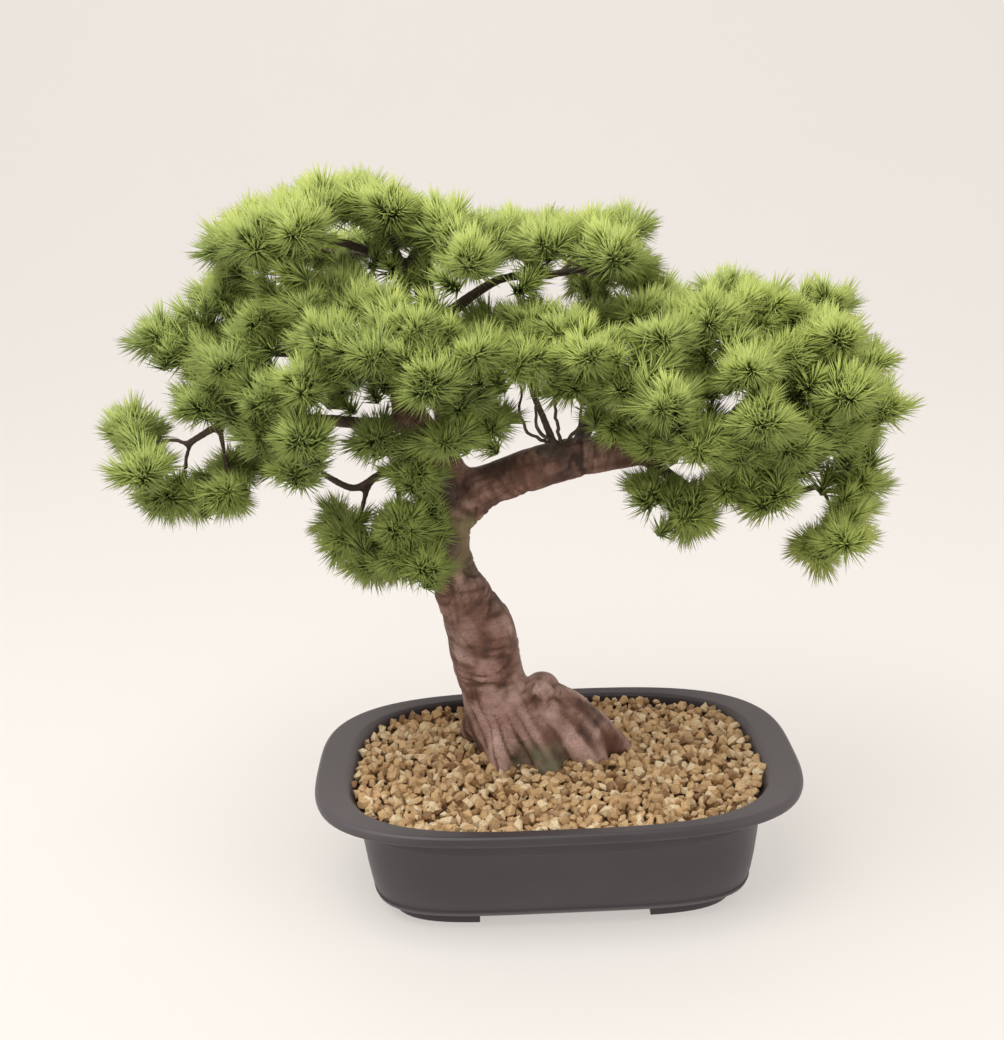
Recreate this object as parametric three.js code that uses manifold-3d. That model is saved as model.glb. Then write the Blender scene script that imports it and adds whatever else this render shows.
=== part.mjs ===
// Pine bonsai in an oval tray: pot, root soil, gravel, grown wood and sprays of needles.
// Millimetres, +Z up, the front of the tray towards -Y.
import * as THREE from "three";
import { mergeVertices } from "three/addons/utils/BufferGeometryUtils.js";
import Module from "manifold-3d";

const wasm = await Module();
wasm.setup();

// Driving dimensions of the pot
const RIM_HALF = [126, 87.5];
const OPENING_HALF = [108.5, 78.5];
const WALL_TOP_HALF = [105, 82];
const BASE_HALF = [90.5, 59.5];
const POT_HEIGHT = 63;
const RIM_UNDERSIDE = 56.5;
const COLLAR_BOTTOM = 50.5;
const BASE_BAND_TOP = 11.5;
const PANEL_RECESS = 1.1;
const FOOT_HEIGHT = 4.2;
const FOOT_GAP_HALF = [43, 28];
const FOOT_WIDTH = 14;
const FLOOR_TOP = 7;
const SQUARENESS = { base: 4.8, rim: 3.2 };
const TRAY_SEGMENTS = 36;

// Driving dimensions of the filling
const GAP = 0.3;
const SOIL_TOP = 49;
const GRAVEL_TOP = 58;
const STONE_PITCH = 9.3;
const STONE_HEIGHT = 3.6;

// Driving dimensions of the foliage
const BUD_RADIUS = 2.1;
const NEEDLE_REACH = 18.5;
const NEEDLE_CLEARANCE = 0.4;
const STEM_RADIUS = 1.6;
const STEM_LENGTH = 6;
const HUB_RADIUS = 2.2;
const TWIG_RADIUS = 1.2;
const NEEDLE_ROOT_RADIUS = 1.1;
const HUB_SHARE = 0.5;

// The trunk leans left, waists, forks at the right bough and winds on to the crown
const TRUNK = {
  points: [
    [-12, 27, 34], [-14, 26, 56], [-22, 23, 73], [-30, 20, 90], [-34, 18, 106], [-36, 16, 120],
    [-38, 15, 132], [-43, 15, 146], [-50, 14, 161], [-53, 14, 177], [-52, 14, 191], [-49, 15, 205],
    [-56, 16, 227], [-69, 17, 248], [-69, 17, 270], [-59, 16, 293], [-57, 15, 312], [-63, 15, 326],
  ],
  radii: [25, 28, 24, 19.5, 17.8, 18.8, 18.6, 15.4, 12.6, 12.1, 12.2, 11.8, 9.5, 8.5, 7.5, 6.2, 4.8, 3.4],
};

// Boughs, each from the heart of the wood that carries it to its own end
const BOUGHS = {
  right: {
    points: [[-49, 15, 202], [-27, 15, 209], [-6, 15, 216], [15, 15, 221], [37, 14, 223],
      [60, 10, 226], [84, 6, 233], [108, 4, 243], [130, 4, 254]],
    radii: [11.5, 11.5, 11.3, 10.5, 9, 7, 5.6, 4.4, 3.2],
  },
  right_low: {
    points: [[46, 12, 223], [62, 9, 211], [76, 6, 202], [92, 5, 198], [114, 3, 200], [136, 2, 204]],
    radii: [4.4, 3.4, 2.8, 2.4, 2.2, 2],
  },
  right_top: {
    points: [[58, 10, 225], [66, 9, 244], [78, 7, 264], [92, 5, 280]],
    radii: [4.6, 3.6, 2.9, 2.3],
  },
  fan: {
    points: [[6, 14, 222], [0, 8, 240], [-7, 0, 260], [-11, -10, 278]],
    radii: [2.8, 2.2, 2, 1.9],
  },
  top_left: {
    points: [[-57, 15, 308], [-66, 15, 319], [-81, 14, 327], [-100, 12, 334], [-122, 6, 333]],
    radii: [4.4, 3.4, 2.6, 2.2, 2],
  },
  top_right: {
    points: [[-58, 16, 290], [-46, 14, 297], [-33, 13, 306], [-19, 13, 313], [3, 12, 314], [24, 8, 317]],
    radii: [4.4, 3.5, 2.8, 2.5, 2.3, 2],
  },
  mid_left: {
    points: [[-69, 17, 260], [-88, 12, 270], [-108, 6, 279], [-130, 0, 283], [-150, -2, 285]],
    radii: [4.6, 3.6, 3, 2.5, 2.1],
  },
  low_left: {
    points: [[-66, 17, 241], [-90, 14, 243], [-114, 10, 247], [-138, 6, 250], [-160, 3, 248],
      [-178, 1, 239]],
    radii: [4.4, 3.6, 3, 2.6, 2.3, 2],
  },
  lower_left: {
    points: [[-50, 15, 214], [-66, 11, 221], [-82, 8, 219], [-97, 5, 212], [-112, 0, 221]],
    radii: [3.8, 2.8, 2.5, 2.3, 2],
  },
  front: {
    points: [[-55, 16, 225], [-53, -4, 240], [-52, -22, 255], [-58, -36, 268]],
    radii: [4.4, 3.6, 3, 2.5],
  },
  back: {
    points: [[-69, 18, 256], [-74, 40, 264], [-84, 58, 268], [-102, 70, 270]],
    radii: [4.6, 3.8, 3.1, 2.5],
  },
  back_top: {
    points: [[-58, 17, 300], [-62, 38, 309], [-70, 56, 314]],
    radii: [4.2, 3.4, 2.6],
  },
  back_right: {
    points: [[14, 16, 221], [26, 36, 238], [44, 54, 254], [70, 66, 266]],
    radii: [4.8, 3.8, 3.1, 2.5],
  },
};

// Surface roots and the buttress on the right of the foot
const ROOTS = [
  { points: [[-12, 18, 94], [6, 13, 82], [22, 13, 69], [36, 17, 57]], radii: [11, 12.5, 11.5, 7] },
  { points: [[-14, 15, 88], [4, 6, 73], [18, 4, 59]], radii: [10, 11.5, 8] },
  { points: [[-16, 14, 88], [-8, 2, 73], [-3, -5, 58]], radii: [10, 10.5, 8] },
  { points: [[-24, 14, 84], [-27, 4, 70], [-28, -1, 57]], radii: [9.5, 9.5, 7] },
  { points: [[-30, 22, 86], [-41, 30, 71], [-46, 40, 57]], radii: [9.5, 9, 6] },
  { points: [[-18, 28, 84], [-18, 46, 68], [-20, 56, 57]], radii: [9, 9, 6] },
  { points: [[-8, 24, 86], [10, 36, 68], [24, 48, 57]], radii: [10, 10, 6] },
];

// Burls: a place and a radius
const BURLS = [
  { at: [-4, 7, 98], radius: 10.5 },
  { at: [-35, 6, 112], radius: 10 },
  { at: [-54, 8, 166], radius: 8 },
  { at: [-35, 8, 206], radius: 8.5 },
];

// Sprays: the bough that carries each, how far along it, and where its tufts of needles are
const SPRAYS = [
  ["top_left_end", "top_left", 1, [[-151, -12, 340], [-129, -38, 343], [-144, 26, 345]]],
  ["top_left_mid", "top_left", 0.8, [[-121, 6, 350], [-101, -18, 356], [-110, -50, 348], [-104, 46, 352]]],
  ["top_left_inner", "top_left", 0.3, [[-86, 4, 357], [-70, -24, 354], [-78, 42, 348]]],
  ["crown", "trunk", 1, [[-57, 2, 343], [-43, -28, 344], [-26, -4, 337], [-46, 38, 333], [-34, -54, 332]]],
  ["top_right_inner", "top_right", 0.7, [[-12, 18, 335], [1, -25, 335], [3, 52, 334]]],
  ["top_right_end", "top_right", 1,
    [[21, -6, 335], [40, 8, 337], [30, -42, 332], [32, 42, 331], [46, 30, 314]]],
  ["mid_left_top", "mid_left", 0.85, [[-154, 2, 314], [-131, -30, 306], [-148, 38, 302]]],
  ["mid_left_inner", "mid_left", 0.5, [[-110, -42, 314], [-120, 14, 300], [-93, -16, 315], [-99, -62, 301]]],
  ["mid_left_end", "mid_left", 1, [[-162, 0, 287], [-147, -38, 289], [-189, 0, 296]]],
  ["left_elbow", "low_left", 0.7, [[-166, -14, 265], [-160, 24, 262], [-131, -48, 274]]],
  ["centre_left", "front", 0.9, [[-75, -38, 312], [-78, -72, 297], [-60, -62, 305], [-110, -64, 282]]],
  ["centre_front", "front", 1, [[-46, -36, 293], [-54, -76, 284], [-33, -63, 292]]],
  ["heart", "front", 0.45, [[-41, -42, 268], [-29, -22, 252], [-48, -50, 250]]],
  ["centre_top", "fan", 1, [[-26, 12, 292], [-9, -20, 298], [-9, -55, 283]]],
  ["right_inner", "fan", 0.6, [[8, -40, 298], [17, -66, 290], [12, -30, 272], [26, 0, 294]]],
  ["right_mid_top", "right_top", 0.6, [[45, -18, 299], [50, -58, 294], [66, 24, 290]]],
  ["right_front", "right", 0.6, [[34, -55, 272], [50, -76, 270], [66, -36, 268]]],
  ["right_low_front", "right", 0.52, [[33, -22, 248], [48, -42, 244], [66, -60, 246]]],
  ["right_crown", "right_top", 1, [[88, 2, 304], [74, -40, 300], [102, -24, 302], [104, 42, 294]]],
  ["right_crown_end", "right", 1, [[122, -10, 292], [142, 14, 294], [134, -40, 288]]],
  ["right_centre", "right", 0.78, [[88, -62, 280], [107, -36, 280], [94, -70, 258], [118, -18, 264]]],
  ["far_right", "right", 0.98, [[160, 8, 268], [161, -16, 250], [136, -52, 266], [156, 10, 232]]],
  ["right_low", "right", 0.72, [[88, -42, 236], [112, -44, 240], [136, -26, 240]]],
  ["right_under", "right_low", 0.72, [[86, -28, 216], [104, -38, 214], [117, 4, 214], [102, 40, 210]]],
  ["right_hanging", "right_low", 0.25, [[69, -18, 196], [52, -8, 210]]],
  ["right_bottom", "right_low", 1, [[152, -12, 212], [156, 14, 184], [132, -10, 174], [139, -42, 192]]],
  ["low_left_end", "low_left", 1, [[-205, 4, 249], [-196, -22, 236], [-208, 34, 240]]],
  ["low_left_hanging", "low_left", 0.98, [[-191, -8, 213], [-182, 24, 206]]],
  ["low_left_inner", "low_left", 0.82, [[-158, -14, 214], [-160, 18, 222]]],
  ["centre_left_low", "lower_left", 1,
    [[-136, -24, 250], [-120, -34, 236], [-112, -62, 256], [-140, 22, 228]]],
  ["left_hanging", "lower_left", 0.6, [[-104, -8, 188], [-110, 26, 188], [-92, 8, 170]]],
  ["left_hanging_inner", "lower_left", 0.42, [[-75, -20, 180], [-72, 10, 190]]],
  ["trunk_front", "trunk", 0.52, [[-57, -26, 183], [-66, -26, 202]]],
  ["fork_left", "trunk", 0.62, [[-66, -20, 226], [-82, -24, 246]]],
  ["back_top_left", "back_top", 1, [[-104, 92, 322], [-128, 72, 328], [-78, 82, 332]]],
  ["back_crown", "back_top", 0.6, [[-14, 80, 325], [-50, 76, 334]]],
  ["back_top_right", "top_right", 0.85, [[26, 86, 304], [50, 70, 310]]],
  ["back_left", "back", 1, [[-150, 74, 284], [-122, 98, 282], [-164, 46, 272]]],
  ["back_centre", "back", 0.55, [[-74, 96, 266], [-42, 96, 276], [-110, 76, 254]]],
  ["back_right", "back_right", 0.8, [[72, 80, 290], [100, 88, 280], [44, 94, 276]]],
  ["back_far_right", "back_right", 1, [[134, 76, 260], [158, 48, 252]]],
];

const COLOURS = {
  pot: { color: 0x4f4a4c, roughness: 0.62, metalness: 0 },
  soil: { color: 0x3f3026, roughness: 1, metalness: 0 },
  gravel: { color: 0xb99c75, roughness: 0.9, metalness: 0 },
  wood: { color: 0x69523f, roughness: 0.9, metalness: 0 },
  needles: { color: 0x7d8f44, roughness: 0.65, metalness: 0 },
};

// A repeatable stream of numbers from 0 to 1
function seeded(seed) {
  let state = seed >>> 0;
  return () => {
    state = (state + 0x6d2b79f5) >>> 0;
    let mixed = Math.imul(state ^ (state >>> 15), 1 | state);
    mixed = (mixed + Math.imul(mixed ^ (mixed >>> 7), 61 | mixed)) ^ mixed;
    return ((mixed ^ (mixed >>> 14)) >>> 0) / 4294967296;
  };
}

const vector = (point) => new THREE.Vector3(...point);

// Closed solids and meshes

function toSolid(geometry) {
  geometry.deleteAttribute("normal");
  geometry.deleteAttribute("uv");
  const merged = mergeVertices(geometry, 1e-4);
  return new wasm.Manifold(new wasm.Mesh({
    numProp: 3,
    vertProperties: new Float32Array(merged.attributes.position.array),
    triVerts: new Uint32Array(merged.index.array),
  }));
}

function toGeometry(solid) {
  const { numProp, vertProperties, triVerts } = solid.getMesh();
  const positions = new Float32Array((vertProperties.length / numProp) * 3);
  for (let i = 0; i < positions.length / 3; i += 1) {
    for (let k = 0; k < 3; k += 1) positions[i * 3 + k] = vertProperties[i * numProp + k];
  }
  const geometry = new THREE.BufferGeometry();
  geometry.setAttribute("position", new THREE.BufferAttribute(positions, 3));
  geometry.setIndex(new THREE.BufferAttribute(new Uint32Array(triVerts), 1));
  geometry.computeVertexNormals();
  return geometry;
}

function named(name, solid, finish) {
  const mesh = new THREE.Mesh(toGeometry(solid), new THREE.MeshStandardMaterial(COLOURS[finish]));
  mesh.name = name;
  return mesh;
}

function box(low, high) {
  const size = high.map((value, k) => value - low[k]);
  const geometry = new THREE.BoxGeometry(...size);
  geometry.translate(...low.map((value, k) => value + size[k] / 2));
  return toSolid(geometry);
}

// How square the tray's outline is at a height, squarest at its base
function squarenessAt(height) {
  return SQUARENESS.base + (SQUARENESS.rim - SQUARENESS.base) * Math.min(1, height / POT_HEIGHT);
}

// A turned profile of [half length, half depth, height] rings, pressed into the tray's rounded oblong
function pressed(rings, segments = TRAY_SEGMENTS) {
  const geometry = new THREE.LatheGeometry(rings.map((ring) => new THREE.Vector2(ring[0], ring[2])), segments);
  const position = geometry.attributes.position;
  for (let i = 0; i < position.count; i += 1) {
    const [length, depth, height] = rings[i % rings.length];
    const turn = (Math.floor(i / rings.length) % segments) * ((2 * Math.PI) / segments);
    const [c, s] = [Math.cos(turn), Math.sin(turn)];
    const square = squarenessAt(height);
    const reach = (Math.abs(c) ** square + Math.abs(s) ** square) ** (-1 / square);
    position.setXYZ(i, length * reach * c, depth * reach * s, height);
  }
  return toSolid(geometry);
}

const inset = ([length, depth], by) => [length - by, depth - by];

// The pot

const INNER_WALL = [
  [89, 57.5, FLOOR_TOP],
  [94.5, 65.5, 14],
  [100.3, 75, 38],
  [104.2, 78.2, 55],
];

function makePot() {
  const rings = [
    [0, 0, FOOT_HEIGHT],
    [...BASE_HALF, FOOT_HEIGHT],
    [94.8, 62.6, 6.2],
    [98.2, 68.2, BASE_BAND_TOP],
    [...inset([98.6, 68.8], PANEL_RECESS), BASE_BAND_TOP + 0.8],
    [...inset([101.6, 75.4], PANEL_RECESS), 26],
    [...inset(WALL_TOP_HALF, PANEL_RECESS), COLLAR_BOTTOM - 0.8],
    [...WALL_TOP_HALF, COLLAR_BOTTOM],
    [106, 82.6, RIM_UNDERSIDE],
    [...inset(RIM_HALF, 1.4), RIM_UNDERSIDE + 0.8],
    [...RIM_HALF, POT_HEIGHT - 3],
    [...inset(RIM_HALF, 1.6), POT_HEIGHT],
    [OPENING_HALF[0] + 3, OPENING_HALF[1] + 1.6, POT_HEIGHT - 0.4],
    [...OPENING_HALF, POT_HEIGHT - 1.6],
    ...INNER_WALL.toReversed(),
    [0, 0, FLOOR_TOP],
  ];
  const footRing = pressed([
    [BASE_HALF[0] - FOOT_WIDTH, BASE_HALF[1] - FOOT_WIDTH, 0],
    [BASE_HALF[0] - 1, BASE_HALF[1] - 1, 0],
    [BASE_HALF[0], BASE_HALF[1], FOOT_HEIGHT + 1],
    [BASE_HALF[0] - FOOT_WIDTH, BASE_HALF[1] - FOOT_WIDTH, FOOT_HEIGHT + 1],
    [BASE_HALF[0] - FOOT_WIDTH, BASE_HALF[1] - FOOT_WIDTH, 0],
  ]);
  const [gapX, gapY] = FOOT_GAP_HALF;
  const feet = footRing
    .subtract(box([-gapX, -100, -1], [gapX, 100, 10]))
    .subtract(box([-100, -gapY, -1], [100, gapY, 10]));
  return pressed(rings).add(feet);
}

// Half length and half depth of the pot's inside at a height
function insideAt(height) {
  const above = Math.max(1, INNER_WALL.findIndex((ring) => ring[2] >= height));
  const [low, high] = [INNER_WALL[above - 1], INNER_WALL[above]];
  const share = (height - low[2]) / (high[2] - low[2]);
  return [0, 1].map((k) => low[k] + share * (high[k] - low[k]));
}

function filling(bottom, top) {
  const side = [bottom, 14, 38, 55].filter((height, k) => k === 0 || (height > bottom && height < top));
  const rings = [...side, top].map((height) => [...inset(insideAt(Math.min(height, 55)), 2 * GAP), height]);
  return pressed([[0, 0, bottom], ...rings, [0, 0, top]]);
}

function makeSoil(foot) {
  return filling(FLOOR_TOP + GAP, SOIL_TOP).subtract(foot);
}

// Gravel: a close field of broken stones, raised at every third point of a slanted grid
function makeGravel(foot) {
  const random = seeded(7);
  const [columns, rows] = [52, 30];
  const rise = STONE_PITCH * Math.sin(Math.PI / 3);
  const jitter = Array.from({ length: (columns + 1) * (rows + 1) }, () => [0, 1, 2].map(() => random() - 0.5));
  const above = new THREE.BoxGeometry(1, 1, 1, columns, rows, 1);
  const position = above.attributes.position;
  for (let i = 0; i < position.count; i += 1) {
    const column = Math.round((position.getX(i) + 0.5) * columns);
    const row = Math.round((position.getY(i) + 0.5) * rows);
    const [shiftX, shiftY, shiftZ] = jitter[row * (columns + 1) + column];
    const peak = (column - row + 3 * rows) % 3 === 0;
    const stone = GRAVEL_TOP + (peak ? 0.8 * shiftZ : 1.4 * shiftZ - STONE_HEIGHT);
    position.setXYZ(i,
      (column - columns / 2 + (row - rows / 2) / 2 + 0.4 * shiftX) * STONE_PITCH,
      (row - rows / 2 + 0.4 * shiftY) * rise,
      position.getZ(i) > 0 ? GRAVEL_TOP + 20 : stone);
  }
  return filling(SOIL_TOP + GAP, GRAVEL_TOP + 4).subtract(toSolid(above)).subtract(foot);
}

// Wood: round limbs along smooth curves

function curveOf({ points }) {
  return new THREE.CatmullRomCurve3(points.map(vector), false, "centripetal");
}

function radiusAt({ radii }, share) {
  const place = share * (radii.length - 1);
  const low = Math.min(Math.floor(place), radii.length - 2);
  return THREE.MathUtils.lerp(radii[low], radii[low + 1], place - low);
}

// A closed limb: a cylinder bent along its curve, its rings following the radii
function limb(path, sides, steps, grow = 0, bark = () => 1) {
  const curve = curveOf(path);
  const frames = curve.computeFrenetFrames(steps);
  const geometry = new THREE.CylinderGeometry(1, 1, 1, sides, steps);
  const position = geometry.attributes.position;
  for (let i = 0; i < position.count; i += 1) {
    const step = Math.round((0.5 - position.getY(i)) * steps);
    const share = curve.getUtoTmapping(step / steps);
    const [across, up] = [position.getX(i), position.getZ(i)];
    const rim = Math.hypot(across, up) > 0.5;
    const radius = rim ? radiusAt(path, share) * bark(Math.atan2(up, across), share) + grow : 0;
    const past = step === 0 ? -grow : step === steps ? grow : 0;
    const centre = curve.getPointAt(step / steps)
      .addScaledVector(frames.tangents[step], 1.5 * past)
      .addScaledVector(frames.normals[step], across * radius)
      .addScaledVector(frames.binormals[step], up * radius);
    position.setXYZ(i, centre.x, centre.y, centre.z);
  }
  return toSolid(geometry);
}

function trunkBark(turn, share) {
  const flutes = 0.06 * Math.sin(3 * turn + 9 * share) + 0.035 * Math.sin(5 * turn - 14 * share);
  return 1 + flutes * (1 - 0.5 * share);
}

// The foot of the trunk with its roots, grown a little where it shapes the hole that it stands in
function makeFoot(grow) {
  const solids = ROOTS.map((root) => limb(root, 6, 3, grow));
  return solids.reduce((whole, root) => whole.add(root), limb(TRUNK, 12, 21, grow, trunkBark));
}

function burl({ at, radius }) {
  const geometry = new THREE.IcosahedronGeometry(radius, 1);
  geometry.rotateZ(at[2]);
  geometry.translate(...at);
  return toSolid(geometry);
}

// The branchlet from a bough to the hub where a spray starts
function branchletFor([, boughName, share, tufts]) {
  const bough = boughName === "trunk" ? TRUNK : BOUGHS[boughName];
  const start = curveOf(bough).getPoint(share);
  const heart = tufts.reduce((sum, tuft) => sum.add(vector(tuft)), new THREE.Vector3())
    .divideScalar(tufts.length);
  const hub = start.clone().lerp(heart, HUB_SHARE);
  const bend = start.clone().lerp(hub, 0.55);
  bend.z += 0.12 * start.distanceTo(hub);
  const thick = Math.min(0.75 * radiusAt(bough, share), 3.2);
  return {
    points: [start.toArray(), bend.toArray(), hub.toArray()],
    radii: [thick, (thick + STEM_RADIUS) / 2, STEM_RADIUS],
  };
}

const BRANCHLETS = SPRAYS.map(branchletFor);

// Clearances between limbs, twigs and needles: each is a run of tapering rods

const rodOf = (node, from, to, near, far) => ({ node, from, to, radii: [near, far] });

// The rod without a share of its length at the start, where it grows from its own bud
const pastStart = ({ node, from, to, radii }, share) => (
  rodOf(node, from.clone().lerp(to, share), to, THREE.MathUtils.lerp(...radii, share), radii[1]));

function rodsAlong(node, path, steps, swell) {
  const curve = curveOf(path);
  return Array.from({ length: steps }, (_, k) => {
    const [near, far] = [k / steps, (k + 1) / steps];
    return rodOf(node, curve.getPoint(near), curve.getPoint(far),
      radiusAt(path, near) * swell, radiusAt(path, far) * swell);
  });
}

// The free space between two rods, less than nothing where they meet
function spaceBetween(a, b) {
  const along = a.to.clone().sub(a.from);
  const across = b.to.clone().sub(b.from);
  const apart = a.from.clone().sub(b.from);
  const [aa, ab, bb] = [along.dot(along), along.dot(across), across.dot(across)];
  const [ac, bc] = [along.dot(apart), across.dot(apart)];
  const spread = aa * bb - ab * ab;
  const clamp = (value) => Math.min(1, Math.max(0, value));
  let s = spread > 1e-9 ? clamp((ab * bc - bb * ac) / spread) : 0;
  const t = clamp((ab * s + bc) / bb);
  s = clamp((ab * t - ac) / aa);
  const gap = a.from.clone().addScaledVector(along, s).distanceTo(b.from.clone().addScaledVector(across, t));
  return gap - THREE.MathUtils.lerp(...a.radii, s) - THREE.MathUtils.lerp(...b.radii, t);
}

const isClear = (rod, others) => others.every((other) => spaceBetween(rod, other) > NEEDLE_CLEARANCE);

// Sprays: a short stem on its branchlet, a hub, a twig to each tuft, and the needles of each tuft

// A small round bud, turned so that its first face looks back along the shoot
function budAt(centre, shoot, spin, radius) {
  const geometry = new THREE.IcosahedronGeometry(radius, 0);
  geometry.deleteAttribute("normal");
  geometry.deleteAttribute("uv");
  const merged = mergeVertices(geometry, 1e-4);
  const position = merged.attributes.position;
  const corners = Array.from({ length: position.count },
    (_, i) => new THREE.Vector3().fromBufferAttribute(position, i));
  const faces = Array.from({ length: merged.index.count / 3 },
    (_, i) => [0, 1, 2].map((k) => merged.index.getX(3 * i + k)));
  const back = middleOf(faces[0].map((i) => corners[i])).normalize();
  const turn = new THREE.Quaternion().setFromUnitVectors(back, shoot.clone().negate())
    .premultiply(new THREE.Quaternion().setFromAxisAngle(shoot, spin));
  for (const corner of corners) corner.applyQuaternion(turn).add(centre);
  const roots = faces.map((face) => middleOf(face.map((i) => corners[i])));
  return { centre, corners, faces, roots };
}

function middleOf(points) {
  return points.reduce((sum, point) => sum.add(point), new THREE.Vector3()).divideScalar(points.length);
}

function planSpray(spray, index) {
  const [name, , , tufts] = spray;
  const foot = curveOf(BRANCHLETS[index]).getPoint(1);
  const facing = curveOf(BRANCHLETS[index]).getTangent(1);
  const random = seeded(101 + index);
  const hub = budAt(foot.clone().addScaledVector(facing, STEM_LENGTH), facing, random() * 6, HUB_RADIUS);
  const taken = new Set([0]);
  const plans = tufts.map((tuft) => {
    const centre = vector(tuft);
    const away = centre.clone().sub(hub.centre).normalize();
    const shoot = away.clone().addScaledVector(facing, 0.3);
    shoot.z += 0.25;
    shoot.normalize();
    const leaning = hub.faces.map((_, k) => (
      taken.has(k) ? -2 : hub.roots[k].clone().sub(hub.centre).normalize().dot(away)));
    const face = leaning.indexOf(Math.max(...leaning));
    taken.add(face);
    const bud = budAt(centre, shoot, random() * 6, BUD_RADIUS);
    const core = rodOf(name, centre, centre.clone().addScaledVector(shoot, 0.1), BUD_RADIUS, BUD_RADIUS);
    const start = hub.roots[face];
    const out = start.clone().sub(hub.centre).normalize();
    return { node: name, shoot, face, start, out, bud, core, random, twig: [], needles: [] };
  });
  return { name, foot, facing, hub, plans };
}

const swayed = (random, amount) => new THREE.Vector3(
  random() - 0.5, random() - 0.5, random() - 0.5).multiplyScalar(2 * amount);

// The bend of a twig between its hub and its bud, moved until the twig is clear of what it would cross
function bendTwig(plan, others) {
  const { start, out } = plan;
  const end = plan.bud.roots[0];
  const reach = start.distanceTo(end);
  let best = null;
  for (let attempt = 0; attempt < 40; attempt += 1) {
    const bend = start.clone().lerp(end, 0.5)
      .addScaledVector(out, 0.12 * reach)
      .addScaledVector(plan.shoot, -0.1 * reach)
      .add(swayed(plan.random, 0.2 * attempt));
    const rods = [
      rodOf(plan.node, start, bend, TWIG_RADIUS, TWIG_RADIUS),
      rodOf(plan.node, bend, end, TWIG_RADIUS, TWIG_RADIUS),
    ];
    const space = Math.min(...rods.flatMap((rod) => others.map((other) => spaceBetween(rod, other))));
    if (!best || space > best.space) best = { rods, space };
    if (space > NEEDLE_CLEARANCE) break;
  }
  return best.rods;
}

// One needle, swung or shortened until it is clear of all the others
function growNeedle(plan, root, others) {
  const outward = root.clone().sub(plan.bud.centre).normalize();
  const length = NEEDLE_REACH * (0.92 + 0.1 * outward.dot(plan.shoot) + 0.14 * (plan.random() - 0.5));
  for (let attempt = 0; attempt < 24; attempt += 1) {
    const direction = outward.clone()
      .add(swayed(plan.random, 0.14 + 0.01 * attempt))
      .addScaledVector(plan.shoot, 0.18)
      .normalize();
    const reach = length * (1 - 0.6 * Math.max(0, attempt - 9) / 14);
    const tip = plan.bud.centre.clone().addScaledVector(direction, reach);
    const needle = rodOf(plan.node, root, tip, NEEDLE_ROOT_RADIUS, 0.05);
    if (isClear(needle, others)) return needle;
  }
  return null;
}

const directionOf = (rod) => rod.to.clone().sub(rod.from).normalize();

// The walls between two rings of three corners
function addWalls(triangles, ring, next) {
  ring.forEach((corner, i) => {
    const j = (i + 1) % 3;
    triangles.push([corner, ring[j], next[j]], [corner, next[j], next[i]]);
  });
}

// A three-sided twig from the ring of corners at a face of the hub, round its bend, to the back of a bud
function twigWalls(points, triangles, ring, twig, lastRing) {
  const [near, far] = twig;
  const middle = middleOf(ring.map((i) => points[i]));
  const spokes = ring.map((i) => points[i].clone().sub(middle));
  const across = spokes[0].clone().cross(spokes[1]).normalize();
  const direction = directionOf(near).add(directionOf(far)).normalize();
  const turn = new THREE.Quaternion().setFromUnitVectors(across, direction);
  const bend = spokes.map((spoke) => (
    points.push(spoke.applyQuaternion(turn).setLength(TWIG_RADIUS).add(near.to)) - 1));
  const choices = [0, 1, 2].map((shift) => lastRing.map((_, i) => lastRing[(5 - i + shift) % 3]));
  const twist = (choice) => choice.reduce((sum, i, k) => sum + points[i].distanceTo(points[bend[k]]), 0);
  const last = choices.reduce((least, choice) => (twist(choice) < twist(least) ? choice : least));
  addWalls(triangles, ring, bend);
  addWalls(triangles, bend, last);
}

function spraySolid({ foot, facing, hub, plans }) {
  const points = [];
  const triangles = [];
  const addBud = (bud) => {
    const first = points.length;
    points.push(...bud.corners.map((corner) => corner.clone()));
    return bud.faces.map((face) => face.map((i) => i + first));
  };
  const addNeedle = (face, tip) => {
    face.forEach((corner, i) => triangles.push([corner, face[(i + 1) % 3], tip]));
  };
  const hubFaces = addBud(hub);
  const open = new Set([0, ...plans.map((plan) => plan.face)]);
  triangles.push(...hubFaces.filter((_, k) => !open.has(k)));
  // The stem runs from the hub's back face to a flat foot on the branchlet
  const back = hubFaces[0].map((i) => points[i].clone().sub(hub.roots[0]));
  const seat = foot.clone().addScaledVector(facing, GAP);
  const footRing = back.map((spoke) => (
    points.push(spoke.projectOnPlane(facing).setLength(STEM_RADIUS).add(seat)) - 1));
  addWalls(triangles, hubFaces[0], footRing);
  triangles.push(footRing);
  for (const plan of plans) {
    const [tail, ...faces] = addBud(plan.bud);
    faces.forEach((face, k) => {
      const needle = plan.needles[k];
      if (needle) addNeedle(face, points.push(needle.to) - 1);
      else triangles.push(face);
    });
    twigWalls(points, triangles, hubFaces[plan.face], plan.twig, tail);
  }
  const geometry = new THREE.BufferGeometry().setFromPoints(points);
  geometry.setIndex(triangles.flat());
  return toSolid(geometry);
}

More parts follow.
